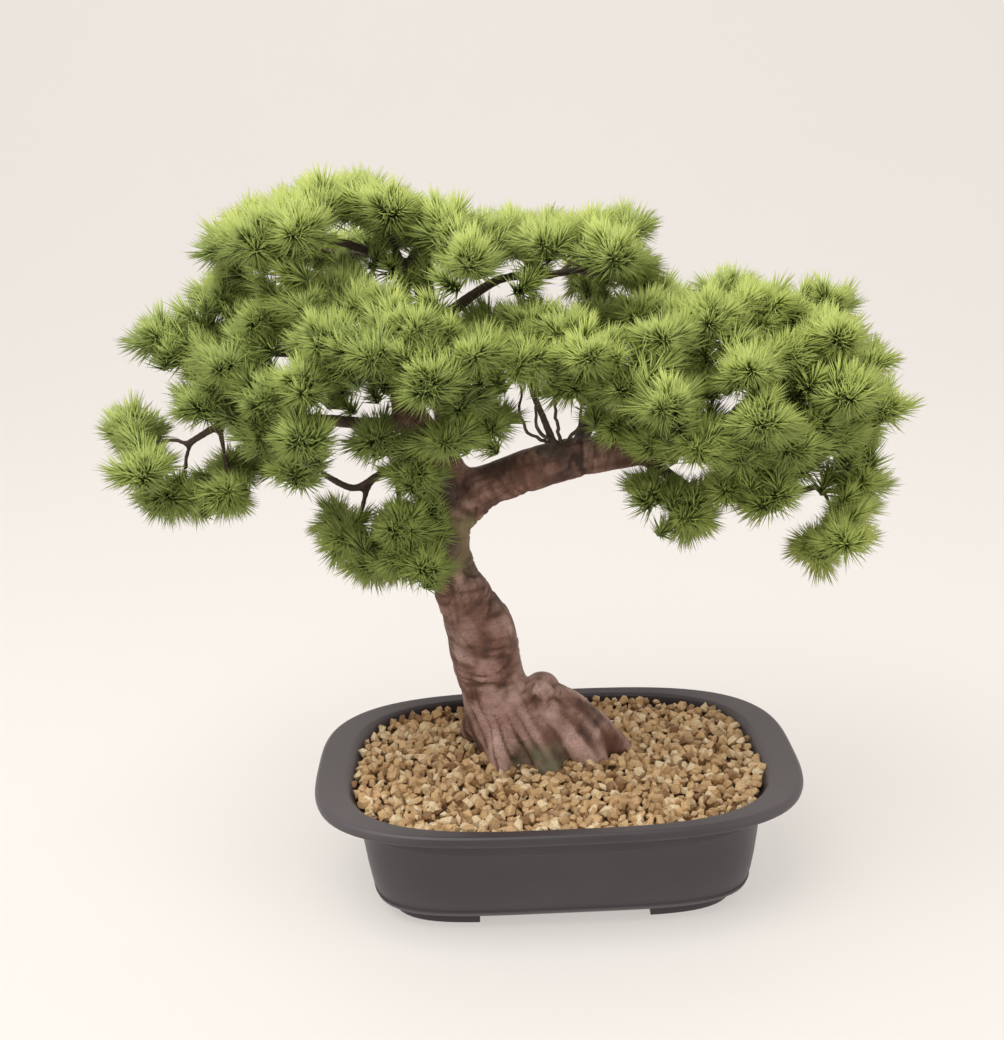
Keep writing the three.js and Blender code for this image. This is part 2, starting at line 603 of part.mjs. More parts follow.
function makeSprays(wood) {
  const sprays = SPRAYS.map(planSpray);
  const plans = sprays.flatMap((spray) => spray.plans);
  const stems = sprays.map(({ name, foot, facing, hub }) => (
    rodOf(name, foot.clone().addScaledVector(facing, STEM_RADIUS), hub.centre, STEM_RADIUS, HUB_RADIUS)));
  for (const plan of plans) {
    const others = [
      ...wood.filter((rod) => rod.node !== plan.node),
      ...stems.filter((stem) => stem.node !== plan.node),
      ...plans.filter((other) => other !== plan).flatMap((other) => [
        other.core, ...other.twig.slice(other.node === plan.node ? 1 : 0)]),
    ];
    plan.twig = bendTwig(plan, others);
  }
  const twigs = plans.flatMap((plan) => plan.twig);
  for (const plan of plans) {
    const around = plans.filter((other) => (
      other !== plan && other.bud.centre.distanceTo(plan.bud.centre) < 2.2 * NEEDLE_REACH));
    const fixed = [
      ...[...wood, ...stems, ...twigs.filter((rod) => !plan.twig.includes(rod))]
        .filter((rod) => spaceBetween(rod, plan.core) < 1.2 * NEEDLE_REACH),
      pastStart({ ...plan.twig[1], from: plan.twig[1].to, to: plan.twig[1].from }, 0.3),
      ...around.flatMap((other) => [other.core, ...other.needles.filter(Boolean)]),
    ];
    for (const root of plan.bud.roots.slice(1)) {
      const own = plan.needles.filter(Boolean).map((needle) => pastStart(needle, 0.25));
      plan.needles.push(growNeedle(plan, root, [...fixed, ...own]));
    }
  }
  return sprays.map((spray) => [spray.name, spraySolid(spray)]);
}

// The whole plant

const boughSolids = Object.values(BOUGHS).map((bough) => limb(bough, 6, bough.points.length));
const trunk = [
  ...boughSolids,
  ...BURLS.map(burl),
  ...BRANCHLETS.map((branchlet) => limb(branchlet, 4, 2)),
].reduce((whole, piece) => whole.add(piece), makeFoot(0));
const woodRods = [
  ...rodsAlong("trunk", TRUNK, 40, 1.12),
  ...Object.values(BOUGHS).flatMap((bough) => rodsAlong("trunk", bough, 16, 1.05)),
  ...BRANCHLETS.flatMap((branchlet, k) => rodsAlong(SPRAYS[k][0], branchlet, 6, 1.05)),
];
const hole = makeFoot(GAP);

const plant = new THREE.Group();
plant.add(named("pot", makePot(), "pot"));
plant.add(named("soil", makeSoil(hole), "soil"));
plant.add(named("gravel", makeGravel(hole), "gravel"));
plant.add(named("trunk", trunk, "wood"));
for (const [name, solid] of makeSprays(woodRods)) plant.add(named(`spray_${name}`, solid, "needles"));

// The part stands with its base on the ground and its box centred on the vertical axis
const bounds = new THREE.Box3().setFromObject(plant);
const middle = bounds.getCenter(new THREE.Vector3());
plant.position.set(-middle.x, -middle.y, -bounds.min.z);

export default plant;
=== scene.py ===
import math
import random
from itertools import product

import bmesh
import bpy
import numpy as np
from bpy.props import FloatProperty, FloatVectorProperty, IntProperty, PointerProperty
from mathutils import Matrix, Quaternion, Vector, kdtree, noise


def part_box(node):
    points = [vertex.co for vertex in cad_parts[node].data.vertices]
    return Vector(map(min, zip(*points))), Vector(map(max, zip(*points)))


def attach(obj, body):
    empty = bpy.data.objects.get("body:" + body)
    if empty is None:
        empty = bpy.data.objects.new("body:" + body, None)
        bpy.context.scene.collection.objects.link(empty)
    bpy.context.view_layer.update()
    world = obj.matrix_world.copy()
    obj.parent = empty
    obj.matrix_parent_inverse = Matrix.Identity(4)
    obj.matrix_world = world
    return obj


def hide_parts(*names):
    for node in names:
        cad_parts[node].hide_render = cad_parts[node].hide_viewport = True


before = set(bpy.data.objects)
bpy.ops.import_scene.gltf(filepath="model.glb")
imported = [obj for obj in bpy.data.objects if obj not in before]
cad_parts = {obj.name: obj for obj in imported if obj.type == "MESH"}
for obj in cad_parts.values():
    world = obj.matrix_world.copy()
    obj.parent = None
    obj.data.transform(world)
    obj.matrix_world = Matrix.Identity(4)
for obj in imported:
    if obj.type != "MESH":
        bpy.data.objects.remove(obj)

bl_info = {
    "name": "Pine Bonsai",
    "version": (1, 0, 0),
    "blender": (4, 5, 0),
    "location": "View3D > Sidebar > Bonsai",
    "description": "A pine bonsai in an oval tray: tray, gravel, bark, needles and studio",
    "category": "Object",
}

GOLDEN_TURN = math.radians(137.5)
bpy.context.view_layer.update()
MM = 0.001
# Straight up, and what takes the height out of a direction
UP, LEVEL = Vector((0, 0, 1)), Vector((1, 1, 0))

# The shapes below are in millimetres from the middle of the tray's base, +Z up, front towards -Y
TRAY_LOW, TRAY_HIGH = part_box("pot")
TRAY_MIDDLE = Vector(((TRAY_LOW.x + TRAY_HIGH.x) / 2, (TRAY_LOW.y + TRAY_HIGH.y) / 2, TRAY_LOW.z))
TO_FRAME = Matrix.Translation(TRAY_MIDDLE) @ Matrix.Scale(MM, 4)

# The tray: half length, half depth and height of each ring, from the base out, over the lip and inside
TRAY_HEIGHT = 63
SQUARENESS = (4.8, 3.2)
TRAY_RINGS = (
    (0, 0, 4.2), (60, 38, 4.2), (87, 56.5, 4.2), (90.5, 59.5, 4.6), (93.2, 61.2, 5.4), (95.6, 63.4, 6.9),
    (97.4, 66.2, 9), (98.2, 68.2, 11.5), (97.5, 67.7, 12.1), (98.9, 70.2, 16.5), (100.5, 74.3, 26),
    (102.3, 77.7, 38), (103.7, 80.7, 49.4), (105, 82, 50.4), (105.6, 82.3, 53), (106.2, 82.6, 56.3),
    (110, 83.6, 56.6), (122, 85.9, 57), (125.3, 87, 58.3), (126, 87.5, 60), (125.7, 87.3, 61.8),
    (124.2, 86.3, 62.9), (120, 84.4, 62.7), (113, 81.2, 62.5), (110.2, 79.6, 62.3), (108.5, 78.5, 61),
    (106.2, 78.4, 57.5), (104.2, 78.2, 55), (100.3, 75, 38), (94.5, 65.5, 14), (89, 57.5, 7), (0, 0, 7),
)
FOOT_RING = ((76.5, 45.5, 0), (89.2, 58.3, 0), (90.4, 59.4, 4.7), (76.5, 45.5, 4.7))
FOOT_GAP_HALF = (43, 28)

# The gravel: its level, the bed of grit under the stones, and the reach of the bed and the top stones
GRAVEL_LEVEL = 58.6
BED_FLOOR, BED_TOP = 50, GRAVEL_LEVEL - 4.6
BED_WAVE, BED_PACE = 1.2, 0.25
GRAVEL_HALF = (105.6, 77.8)
GRAVEL_TOP_HALF = (108.6, 79.8)
# Each layer of stones: its number, the share of its places that hold a stone, and its reach
LAYERS = ((0, 1.0, GRAVEL_HALF), (1, 0.68, GRAVEL_TOP_HALF))
FIRST_LAYER, LAYER_STEP, STONE_STRAY = GRAVEL_LEVEL - 3.0, 2.4, 0.8
ROW_STEP = 0.866
EDGE_MARGIN, EDGE_RISE = 6, 0.8

TRUNK = {
    "points": ((-12, 27, 34), (-14, 26, 56), (-22, 23, 73), (-30, 20, 90), (-34, 18, 106), (-36, 16, 120),
               (-38, 15, 132), (-44, 15, 146), (-50, 14, 161), (-53, 14, 177), (-52, 14, 191),
               (-49, 15, 205), (-56, 16, 227), (-69, 17, 248), (-69, 17, 270), (-59, 16, 293),
               (-57, 15, 312), (-63, 15, 326)),
    "radii": (25, 28, 24, 19.5, 17.8, 18.8, 18.6, 15.2, 13.2, 12.2, 12.2, 11.8, 9.5, 8.5, 7.2, 5.4,
              4, 2.8),
}
BOUGHS = {
    "right": {
        "points": ((-49, 15, 202), (-27, 15, 209), (-6, 15, 216), (15, 15, 221), (37, 14, 223),
                   (60, 10, 226), (84, 6, 233), (108, 4, 243), (130, 4, 254)),
        "radii": (11.5, 11.5, 11.3, 10.5, 9, 7, 5.6, 4.4, 3.2),
    },
    "right_low": {
        "points": ((46, 12, 223), (62, 9, 211), (76, 6, 202), (92, 5, 198), (114, 3, 200), (136, 2, 204)),
        "radii": (4.4, 3.4, 2.8, 2.4, 2.2, 2),
    },
    "right_top": {
        "points": ((58, 10, 225), (66, 9, 244), (78, 7, 264), (92, 5, 280)),
        "radii": (4.6, 3.6, 2.9, 2.3),
    },
    "fan": {
        "points": ((6, 14, 222), (0, 8, 240), (-7, 0, 260), (-11, -10, 278)),
        "radii": (2.8, 2.2, 2, 1.9),
    },
    "top_left": {
        "points": ((-57, 15, 308), (-66, 15, 319), (-81, 14, 327), (-100, 12, 334), (-122, 6, 333)),
        "radii": (4.4, 3.4, 2.6, 2.2, 2),
    },
    "top_right": {
        "points": ((-58, 16, 290), (-46, 14, 297), (-33, 13, 306), (-19, 13, 313), (3, 12, 314),
                   (24, 8, 317)),
        "radii": (4.4, 3.5, 2.8, 2.5, 2.3, 2),
    },
    "mid_left": {
        "points": ((-69, 17, 260), (-88, 12, 270), (-108, 6, 279), (-130, 0, 283), (-150, -2, 285)),
        "radii": (4.6, 3.6, 3, 2.5, 2.1),
    },
    "low_left": {
        "points": ((-66, 17, 241), (-90, 14, 243), (-114, 10, 247), (-138, 6, 250), (-160, 3, 248),
                   (-178, 1, 239)),
        "radii": (4.4, 3.6, 3, 2.6, 2.3, 2),
    },
    "lower_left": {
        "points": ((-50, 15, 214), (-66, 11, 221), (-82, 8, 219), (-97, 5, 212), (-112, 0, 221)),
        "radii": (3.8, 2.8, 2.5, 2.3, 2),
    },
    "front": {
        "points": ((-55, 16, 225), (-53, -4, 240), (-52, -22, 255), (-58, -36, 268)),
        "radii": (4.4, 3.6, 3, 2.5),
    },
    "back": {
        "points": ((-69, 18, 256), (-74, 40, 264), (-84, 58, 268), (-102, 70, 270)),
        "radii": (4.6, 3.8, 3.1, 2.5),
    },
    "back_top": {
        "points": ((-58, 17, 300), (-62, 38, 309), (-70, 56, 314)),
        "radii": (4.2, 3.4, 2.6),
    },
    "back_right": {
        "points": ((14, 16, 221), (26, 36, 238), (44, 54, 254), (70, 66, 266)),
        "radii": (4.8, 3.8, 3.1, 2.5),
    },
}
ROOTS = (
    {"points": ((-12, 18, 94), (6, 13, 82), (22, 13, 69), (36, 17, 57)), "radii": (11, 12.5, 11.5, 7)},
    {"points": ((-14, 15, 88), (4, 6, 73), (18, 4, 59)), "radii": (10, 11.5, 8)},
    {"points": ((-16, 14, 88), (-8, 2, 73), (-3, -5, 58)), "radii": (10, 10.5, 8)},
    {"points": ((-24, 14, 84), (-27, 4, 70), (-28, -1, 57)), "radii": (9.5, 9.5, 7)},
    {"points": ((-30, 22, 86), (-41, 30, 71), (-46, 40, 57)), "radii": (9.5, 9, 6)},
    {"points": ((-18, 28, 84), (-18, 46, 68), (-20, 56, 57)), "radii": (9, 9, 6)},
    {"points": ((-8, 24, 86), (10, 36, 68), (24, 48, 57)), "radii": (10, 10, 6)},
)
# Round lumps on the trunk, and the two that round the crotch under the right bough
BURLS = (
    ((-6, 7, 97), 10.5), ((-14, 8, 92), 9), ((-35, 6, 112), 10), ((-54, 8, 166), 8), ((-35, 8, 206), 8.5),
)
CROTCH_FILLETS = (((-36, 14, 198), 8), ((-45, 14, 192), 9))

# Sprays: the bough that carries each, how far along it, and where its tufts of needles are
SPRAYS = (
    ("top_left_end", "top_left", 1, ((-146, -12, 340), (-129, -38, 343), (-140, 26, 345))),
    ("top_left_mid", "top_left", 0.8,
     ((-121, 6, 350), (-101, -18, 356), (-110, -50, 348), (-104, 46, 352))),
    ("top_left_inner", "top_left", 0.3, ((-86, 4, 357), (-70, -24, 354), (-78, 42, 348))),
    ("crown", "trunk", 1,
     ((-57, 2, 343), (-43, -28, 344), (-26, -4, 337), (-46, 38, 333), (-34, -54, 332))),
    ("top_right_inner", "top_right", 0.7, ((-12, 18, 335), (1, -25, 335), (3, 52, 334))),
    ("top_right_end", "top_right", 1,
     ((21, -6, 335), (40, 8, 337), (30, -42, 332), (32, 42, 331), (46, 30, 314))),
    ("mid_left_top", "mid_left", 0.85, ((-154, 2, 314), (-131, -30, 306), (-148, 38, 302))),
    ("mid_left_inner", "mid_left", 0.5,
     ((-110, -42, 314), (-120, 14, 300), (-93, -16, 315), (-99, -62, 301))),
    ("mid_left_end", "mid_left", 1, ((-162, 0, 287), (-147, -38, 289), (-185, 0, 296))),
    ("left_elbow", "low_left", 0.7, ((-166, -14, 265), (-160, 24, 262), (-131, -48, 274))),
    ("centre_left", "front", 0.9,
     ((-75, -38, 312), (-78, -72, 297), (-60, -62, 305), (-110, -64, 282))),
    ("centre_front", "front", 1, ((-46, -36, 293), (-54, -76, 284), (-33, -63, 292))),
    ("heart", "front", 0.45, ((-41, -42, 268), (-29, -22, 252), (-48, -50, 250))),
    ("centre_top", "fan", 1, ((-26, 12, 292), (-9, -20, 298), (-9, -55, 283))),
    ("right_inner", "fan", 0.6, ((8, -40, 298), (17, -66, 290), (12, -30, 272), (26, 0, 294))),
    ("right_mid_top", "right_top", 0.6, ((45, -18, 299), (50, -58, 294), (66, 24, 290))),
    ("right_front", "right", 0.6, ((34, -55, 272), (50, -76, 270), (66, -36, 268))),
    ("right_low_front", "right", 0.52, ((33, -22, 248), (48, -42, 244), (66, -60, 246))),
    ("right_crown", "right_top", 1, ((88, 2, 304), (74, -40, 300), (102, -24, 302), (104, 42, 294))),
    ("right_crown_end", "right", 1, ((122, -10, 292), (142, 14, 294), (134, -40, 288))),
    ("right_centre", "right", 0.78, ((88, -62, 280), (107, -36, 280), (94, -70, 258), (118, -18, 264))),
    ("far_right", "right", 0.98, ((160, 8, 268), (161, -16, 250), (136, -52, 266), (156, 10, 232))),
    ("right_low", "right", 0.72, ((88, -42, 236), (112, -44, 240), (136, -26, 240))),
    ("right_under", "right_low", 0.72, ((86, -28, 216), (104, -38, 214), (117, 4, 214), (102, 40, 210))),
    ("right_hanging", "right_low", 0.25, ((69, -18, 196), (52, -8, 210))),
    ("right_bottom", "right_low", 1, ((152, -12, 212), (156, 14, 184), (132, -10, 174), (139, -42, 192))),
    ("low_left_end", "low_left", 1, ((-205, 4, 249), (-196, -22, 236), (-208, 34, 240))),
    ("low_left_hanging", "low_left", 0.98, ((-191, -8, 213), (-182, 24, 206))),
    ("low_left_inner", "low_left", 0.82, ((-158, -14, 214), (-160, 18, 222))),
    ("centre_left_low", "lower_left", 1,
     ((-136, -24, 250), (-120, -34, 236), (-112, -62, 256), (-140, 22, 228))),
    ("left_hanging", "lower_left", 0.6, ((-104, -8, 188), (-110, 26, 188), (-92, 8, 170))),
    ("left_hanging_inner", "lower_left", 0.42, ((-75, -20, 180), (-72, 10, 190))),
    ("trunk_front", "trunk", 0.52, ((-62, -25, 182), (-72, -25, 202))),
    ("fork_left", "trunk", 0.62, ((-66, -20, 226), (-82, -24, 246))),
    ("back_top_left", "back_top", 1, ((-104, 92, 322), (-128, 72, 328), (-78, 82, 332))),
    ("back_crown", "back_top", 0.6, ((-14, 80, 325), (-50, 76, 334))),
    ("back_top_right", "top_right", 0.85, ((26, 86, 304), (50, 70, 310))),
    ("back_left", "back", 1, ((-150, 74, 284), (-122, 98, 282), (-164, 46, 272))),
    ("back_centre", "back", 0.55, ((-74, 96, 266), (-42, 96, 276), (-110, 76, 254))),
    ("back_right", "back_right", 0.8, ((72, 80, 290), (100, 88, 280), (44, 94, 276))),
    ("back_far_right", "back_right", 1, ((134, 76, 260), (158, 48, 252))),
)
# Thin bare twigs that fan out between the right bough and the needles above it
FAN_TWIGS = (
    ((5, 12, 228), (-5, 5, 234), (-12, -4, 246), (-13, -14, 268)),
    ((6, 12, 229), (-3, 0, 238), (-6, -12, 254), (-4, -22, 274)),
    ((8, 12, 229), (5, -2, 240), (4, -16, 256), (8, -28, 272)),
    ((10, 13, 229), (15, 2, 239), (17, -12, 252), (16, -26, 268)),
    ((12, 13, 228), (20, 7, 235), (25, -5, 248), (28, -20, 270)),
)
# Lone shoots that fill out a spray where the crown is close
FILLERS = {
    "crown": ((-72, -8, 323), (-62, -10, 318), (-67, -12, 311), (-78, -4, 328), (-55, -12, 323)),
    "back_centre": ((-102, 34, 262), (-88, 42, 256), (-94, 38, 270), (-80, 44, 266), (-108, 42, 254),
                    (-116, 36, 262), (-104, 44, 248)),
    "heart": ((-76, -8, 270), (-70, -14, 262)),
    "mid_left_end": ((-181, -8, 287), (-176, 6, 283), (-186, 4, 285)),
    "right_crown": ((92, 0, 309), (84, -6, 306), (100, -4, 304), (90, 10, 307)),
    "right_crown_end": ((135, 0, 303), (143, 4, 297), (128, 6, 301)),
    "left_elbow": ((-148, -8, 262), (-142, 10, 258)),
    "trunk_front": ((-58, -8, 206), (-56, -4, 197), (-62, -10, 212), (-54, -2, 188)),
}
# The stem of a spray, how far its branchlet goes from the bough to the tufts, and how thick it may be
STEM_LENGTH = 6
STEM_RADIUS = 1.6
HUB_SHARE = 0.5
BRANCHLET_RADIUS = 3.2


def from_screen(red, green, blue):
    """A colour picked on a screen, as Blender's shaders want it."""
    def straight(value):
        value /= 255
        return value / 12.92 if value <= 0.04045 else ((value + 0.055) / 1.055) ** 2.4
    return tuple(straight(value) for value in (red, green, blue))


def size_property(name, description, default):
    return FloatProperty(name=name, description=description, default=default, min=0, max=1,
                         subtype="DISTANCE", unit="LENGTH")


def colour_property(name, description, screen_colour):
    return FloatVectorProperty(name=name, description=description, default=from_screen(*screen_colour),
                               min=0, max=1, size=3, subtype="COLOR")


class TraySettings(bpy.types.PropertyGroup):
    steps: IntProperty(name="Steps", description="Faces round the tray", default=144, min=24, max=360)
    edge: size_property("Edge", "Rounding of the moulded edges", 0.0007)
    plastic: colour_property("Plastic", "Colour of the tray", (60, 54, 57))
    # The lip colour is a painted highlight on the wide ends of the lip, which face up
    lip: colour_property("Lip", "Colour of the dusty ends of the lip", (84, 78, 80))
    roughness: FloatProperty(name="Roughness", description="Roughness of the satin plastic",
                             default=0.42, min=0, max=1, subtype="FACTOR")


class GravelSettings(bpy.types.PropertyGroup):
    stone: size_property("Stone", "Usual length of a stone", 0.0082)
    pitch: size_property("Pitch", "Distance between the stones of a layer", 0.0055)
    pale: colour_property("Pale", "Colour of the palest stones", (238, 216, 176))
    tan: colour_property("Tan", "Colour of most stones", (206, 170, 122))
    brown: colour_property("Brown", "Colour of the darkest stones", (138, 100, 62))
    seed: IntProperty(name="Seed", description="Another seed lays the stones another way", default=11)


class WoodSettings(bpy.types.PropertyGroup):
    grain: size_property("Grain", "Size of the cells that fuse the limbs", 0.0013)
    bark: size_property("Bark", "Depth of the lumps and wrinkles of the bark", 0.0015)
    # The ridge colour is a painted highlight on the bark's ridges, and the furrow colour is painted shade in
    # its wrinkles
    ridge: colour_property("Ridge", "Colour of the worn ridges", (192, 158, 146))
    flank: colour_property("Flank", "Colour of most of the bark", (128, 94, 80))
    furrow: colour_property("Furrow", "Colour in the wrinkles", (66, 44, 36))
    olive: colour_property("Olive", "Colour of the bare bark under the needles", (130, 124, 78))
    moss: colour_property("Moss", "Colour of the moss at the foot", (112, 112, 84))
    twig: colour_property("Twig", "Colour of the thin twigs", (74, 62, 50))
    seed: IntProperty(name="Seed", description="Another seed bends the bark's wrinkles another way",
                      default=3, min=1)


class FoliageSettings(bpy.types.PropertyGroup):
    needle: size_property("Needle", "Length of a needle", 0.0138)
    thickness: size_property("Thickness", "Thickness of a needle at its root", 0.0013)
    needles: IntProperty(name="Needles", description="Needles on a shoot", default=96, min=10, max=400)
    shoots: IntProperty(name="Shoots", description="Shoots of a tuft", default=10, min=1, max=20)
    shapes: IntProperty(name="Shapes", description="Differently grown shoots", default=6, min=1, max=12)
    # The colour at the needles' roots darkens them towards their twig as painted shade
    shadowed: colour_property("Old", "Colour of old needles near their twig", (122, 136, 84))
    green: colour_property("Green", "Colour of most needles", (152, 168, 86))
    fresh: colour_property("Fresh", "Colour of the fresh tips in the sun", (202, 213, 114))
    shade: colour_property("Shade", "Tint of the needles inside the crown", (236, 240, 222))
    seed: IntProperty(name="Seed", description="Another seed turns the tufts another way", default=5)


class StudioSettings(bpy.types.PropertyGroup):
    paper: colour_property("Paper", "Colour of the floor and the backdrop", (166, 162, 158))
    glow: FloatProperty(name="Glow", description="Light that shines through the paper", default=1.3, min=0)
    key: FloatProperty(name="Key", description="Power of the large light overhead", default=15, unit="POWER")
    fill: FloatProperty(name="Fill", description="Power of the light in front", default=3, unit="POWER")
    sky: FloatProperty(name="Sky", description="Strength of the light from all sides",
                       default=0.68, min=0)


# Ready shapes, their copies and the pieces made of them

def placed(*point):
    return Matrix.Translation(Vector(point))


def stray(draw, reach):
    """A random step of up to a reach along each axis."""
    return Vector(draw.uniform(-reach, reach) for _ in range(3))


def clamped(value):
    return max(0.0, min(1.0, value))


def mesh_of(bm, name="shape"):
    """The finished mesh of a bmesh, which is then freed."""
    mesh = bpy.data.meshes.new(name)
    bm.to_mesh(mesh)
    bm.free()
    return mesh


def keep(name, mesh, materials, nodes=(), smooth=True):
    """Puts a mesh in tray millimetres into the frame as a piece of the object."""
    mesh.transform(TO_FRAME)
    mesh.name = name
    for material in materials:
        mesh.materials.append(material)
    mesh.polygons.foreach_set("use_smooth", [smooth] * len(mesh.polygons))
    piece = bpy.data.objects.new(name, mesh)
    bpy.context.scene.collection.objects.link(piece)
    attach(piece, "root")
    if nodes:
        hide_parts(*nodes)
    return piece


def note(mesh, **values):
    """Keeps a number, or three, for each vertex of a mesh, for its material to read."""
    for name, numbers in values.items():
        numbers = np.asarray(numbers, np.float32)
        kind, field = ("FLOAT", "value") if numbers.ndim == 1 else ("FLOAT_VECTOR", "vector")
        attribute = mesh.attributes.new(name, kind, "POINT")
        attribute.data.foreach_set(field, numbers.ravel())


class Growth:
    """A mesh that grows by copies of ready shapes, with a few numbers kept for each vertex."""

    def __init__(self):
        self.bm = bmesh.new()
        self.notes = {}

    def add(self, mesh, matrix, **notes):
        """Adds a copy of a mesh; each note is one number for the copy or a list for its vertices."""
        first = len(self.bm.verts)
        self.bm.from_mesh(mesh)
        self.bm.verts.ensure_lookup_table()
        fresh = self.bm.verts[first:]
        bmesh.ops.transform(self.bm, matrix=matrix, verts=fresh)
        for name, value in notes.items():
            values = np.broadcast_to(np.asarray(value, float), len(fresh))
            self.notes.setdefault(name, []).append(values)

    def finish(self):
        mesh = mesh_of(self.bm)
        note(mesh, **{name: np.concatenate(parts) for name, parts in self.notes.items()})
        return mesh


def outline_reach(c, s, height):
    """Reach of the tray's rounded oblong in a direction: squarest at the base, rounder at the lip."""
    square = SQUARENESS[0] + (SQUARENESS[1] - SQUARENESS[0]) * min(1, height / TRAY_HEIGHT)
    return (abs(c) ** square + abs(s) ** square) ** (-1 / square)


def pressed(rings, steps):
    """Turns a profile of rings round the upright axis and presses it into the tray's rounded oblong."""
    bm = bmesh.new()
    closed = rings[0][0] > 0
    spine = [bm.verts.new((index + 1 if length > 0 else 0, 0, height))
             for index, (length, _, height) in enumerate(rings)]
    pairs = list(zip(spine, spine[1:])) + ([(spine[-1], spine[0])] if closed else [])
    edges = [bm.edges.new(pair) for pair in pairs]
    bmesh.ops.spin(bm, geom=spine + edges, cent=(0, 0, 0), axis=(0, 0, 1), angle=2 * math.pi,
                   steps=steps, use_merge=True, use_normal_flip=False, use_duplicate=False)
    bmesh.ops.remove_doubles(bm, verts=bm.verts, dist=0.001)
    for vert in bm.verts:
        radius = math.hypot(vert.co.x, vert.co.y)
        if radius < 0.5:
            continue
        length, depth, height = rings[round(radius) - 1]
        c, s = vert.co.x / radius, vert.co.y / radius
        reach = outline_reach(c, s, height)
        vert.co.x, vert.co.y = length * reach * c, depth * reach * s
    bmesh.ops.recalc_face_normals(bm, faces=bm.faces)
    return bm


def within(x, y, half, margin=0.0):
    """Whether a place on the gravel lies inside an oblong of a half length and a half depth."""
    x, y = x / (half[0] - margin), y / (half[1] - margin)
    reach = math.hypot(x, y)
    return reach < 0.01 or reach < outline_reach(x / reach, y / reach, GRAVEL_LEVEL)


# Curves of the wood

def along(points, share):
    """The place at a share of a smooth curve through given points."""
    place = share * (len(points) - 1)
    index = min(int(place), len(points) - 2)
    near, far = Vector(points[index]), Vector(points[index + 1])
    before = Vector(points[index - 1]) if index > 0 else near * 2 - far
    after = Vector(points[index + 2]) if index + 2 < len(points) else far * 2 - near
    a, b, c = (max((end - start).length ** 0.5, 0.01)
               for start, end in ((before, near), (near, far), (far, after)))
    leaving = ((near - before) / a - (far - before) / (a + b) + (far - near) / b) * b
    arriving = ((far - near) / b - (after - near) / (b + c) + (after - far) / c) * b
    t = place - index
    return (near + leaving * t + (far * 3 - near * 3 - leaving * 2 - arriving) * t ** 2
            + (near * 2 - far * 2 + leaving + arriving) * t ** 3)


def radius_at(radii, share):
    place = share * (len(radii) - 1)
    index = min(int(place), len(radii) - 2)
    return radii[index] + (radii[index + 1] - radii[index]) * (place - index)


def sampled(limb, spacing=2.5):
    """Places and radii along a limb, close enough to draw its curve."""
    points, radii = limb["points"], limb["radii"]
    length = sum((Vector(b) - Vector(a)).length for a, b in zip(points, points[1:]))
    steps = max(3, round(length / spacing))
    return [(along(points, k / steps), radius_at(radii, k / steps)) for k in range(steps + 1)]


def tubes(runs, sides_level):
    """One mesh of closed round tubes, each along a run of places and radii."""
    curve = bpy.data.curves.new("tubes", "CURVE")
    curve.dimensions = "3D"
    curve.bevel_depth = 1
    curve.bevel_resolution = sides_level
    curve.use_fill_caps = True
    for run in runs:
        spline = curve.splines.new("POLY")
        spline.points.add(len(run) - 1)
        for point, (place, radius) in zip(spline.points, run):
            point.co = (*place, 1)
            point.radius = radius
    carrier = bpy.data.objects.new("tubes", curve)
    mesh = bpy.data.meshes.new_from_object(carrier)
    bpy.data.objects.remove(carrier)
    bpy.data.curves.remove(curve)
    return mesh


def tapered(places, thick, thin):
    """A run of places with radii from thick to thin."""
    last = len(places) - 1
    return [(place, thick + (thin - thick) * k / last) for k, place in enumerate(places)]


def branchlet_for(bough_name, share, tufts):
    """The branchlet from a bough to the place where a spray starts."""
    bough = TRUNK if bough_name == "trunk" else BOUGHS[bough_name]
    start = along(bough["points"], share)
    heart = sum((Vector(tuft) for tuft in tufts), Vector()) / len(tufts)
    hub = start.lerp(heart, HUB_SHARE)
    bend = start.lerp(hub, 0.55) + UP * 0.12 * (hub - start).length
    thick = min(0.75 * radius_at(bough["radii"], share), BRANCHLET_RADIUS)
    return {"points": (start, bend, hub), "radii": (thick, (thick + STEM_RADIUS) / 2, STEM_RADIUS)}


# Shader node groups and materials

def new_group(name, inputs, outputs):
    group = bpy.data.node_groups.new(name, "ShaderNodeTree")
    for label, kind, default in inputs:
        socket = group.interface.new_socket(label, in_out="INPUT", socket_type=kind)
        if default is not None:
            socket.default_value = default
    for label, kind in outputs:
        group.interface.new_socket(label, in_out="OUTPUT", socket_type=kind)
    return group, group.nodes.new("NodeGroupInput"), group.nodes.new("NodeGroupOutput")


def node(tree, kind, settings=(), **inputs):
    """A node with its settings, and a value or a link for each input, by name or as i and its number."""
    made = tree.nodes.new("ShaderNode" + kind)
    for name, value in dict(settings).items():
        setattr(made, name, value)
    for name, value in inputs.items():
        by_number = name[0] == "i" and name[1:].isdigit()
        socket = made.inputs[int(name[1:]) if by_number else name.replace("_", " ")]
        if isinstance(value, bpy.types.NodeSocket):
            tree.links.new(value, socket)
        else:
            socket.default_value = value
    return made


def ramp(tree, factor, stops):
    """A colour ramp through stops of a place and a colour."""
    made = node(tree, "ValToRGB", i0=factor)
    elements = made.color_ramp.elements
    while len(elements) < len(stops):
        elements.new(0.5)
    for element, (place, colour) in zip(elements, stops):
        element.position = place
        element.color = (*colour, 1)
    return made.outputs["Color"]


def math_node(tree, operation, first, second=0.0, clamp=False):
    made = node(tree, "Math", {"operation": operation, "use_clamp": clamp}, i0=first, i1=second)
    return made.outputs[0]


def mixed(tree, factor, first, second, blend="MIX"):
    made = node(tree, "Mix", {"data_type": "RGBA", "blend_type": blend}, i0=factor, i6=first, i7=second)
    return made.outputs[2]


def attribute(tree, name, output="Fac"):
    return node(tree, "Attribute", {"attribute_name": name}).outputs[output]


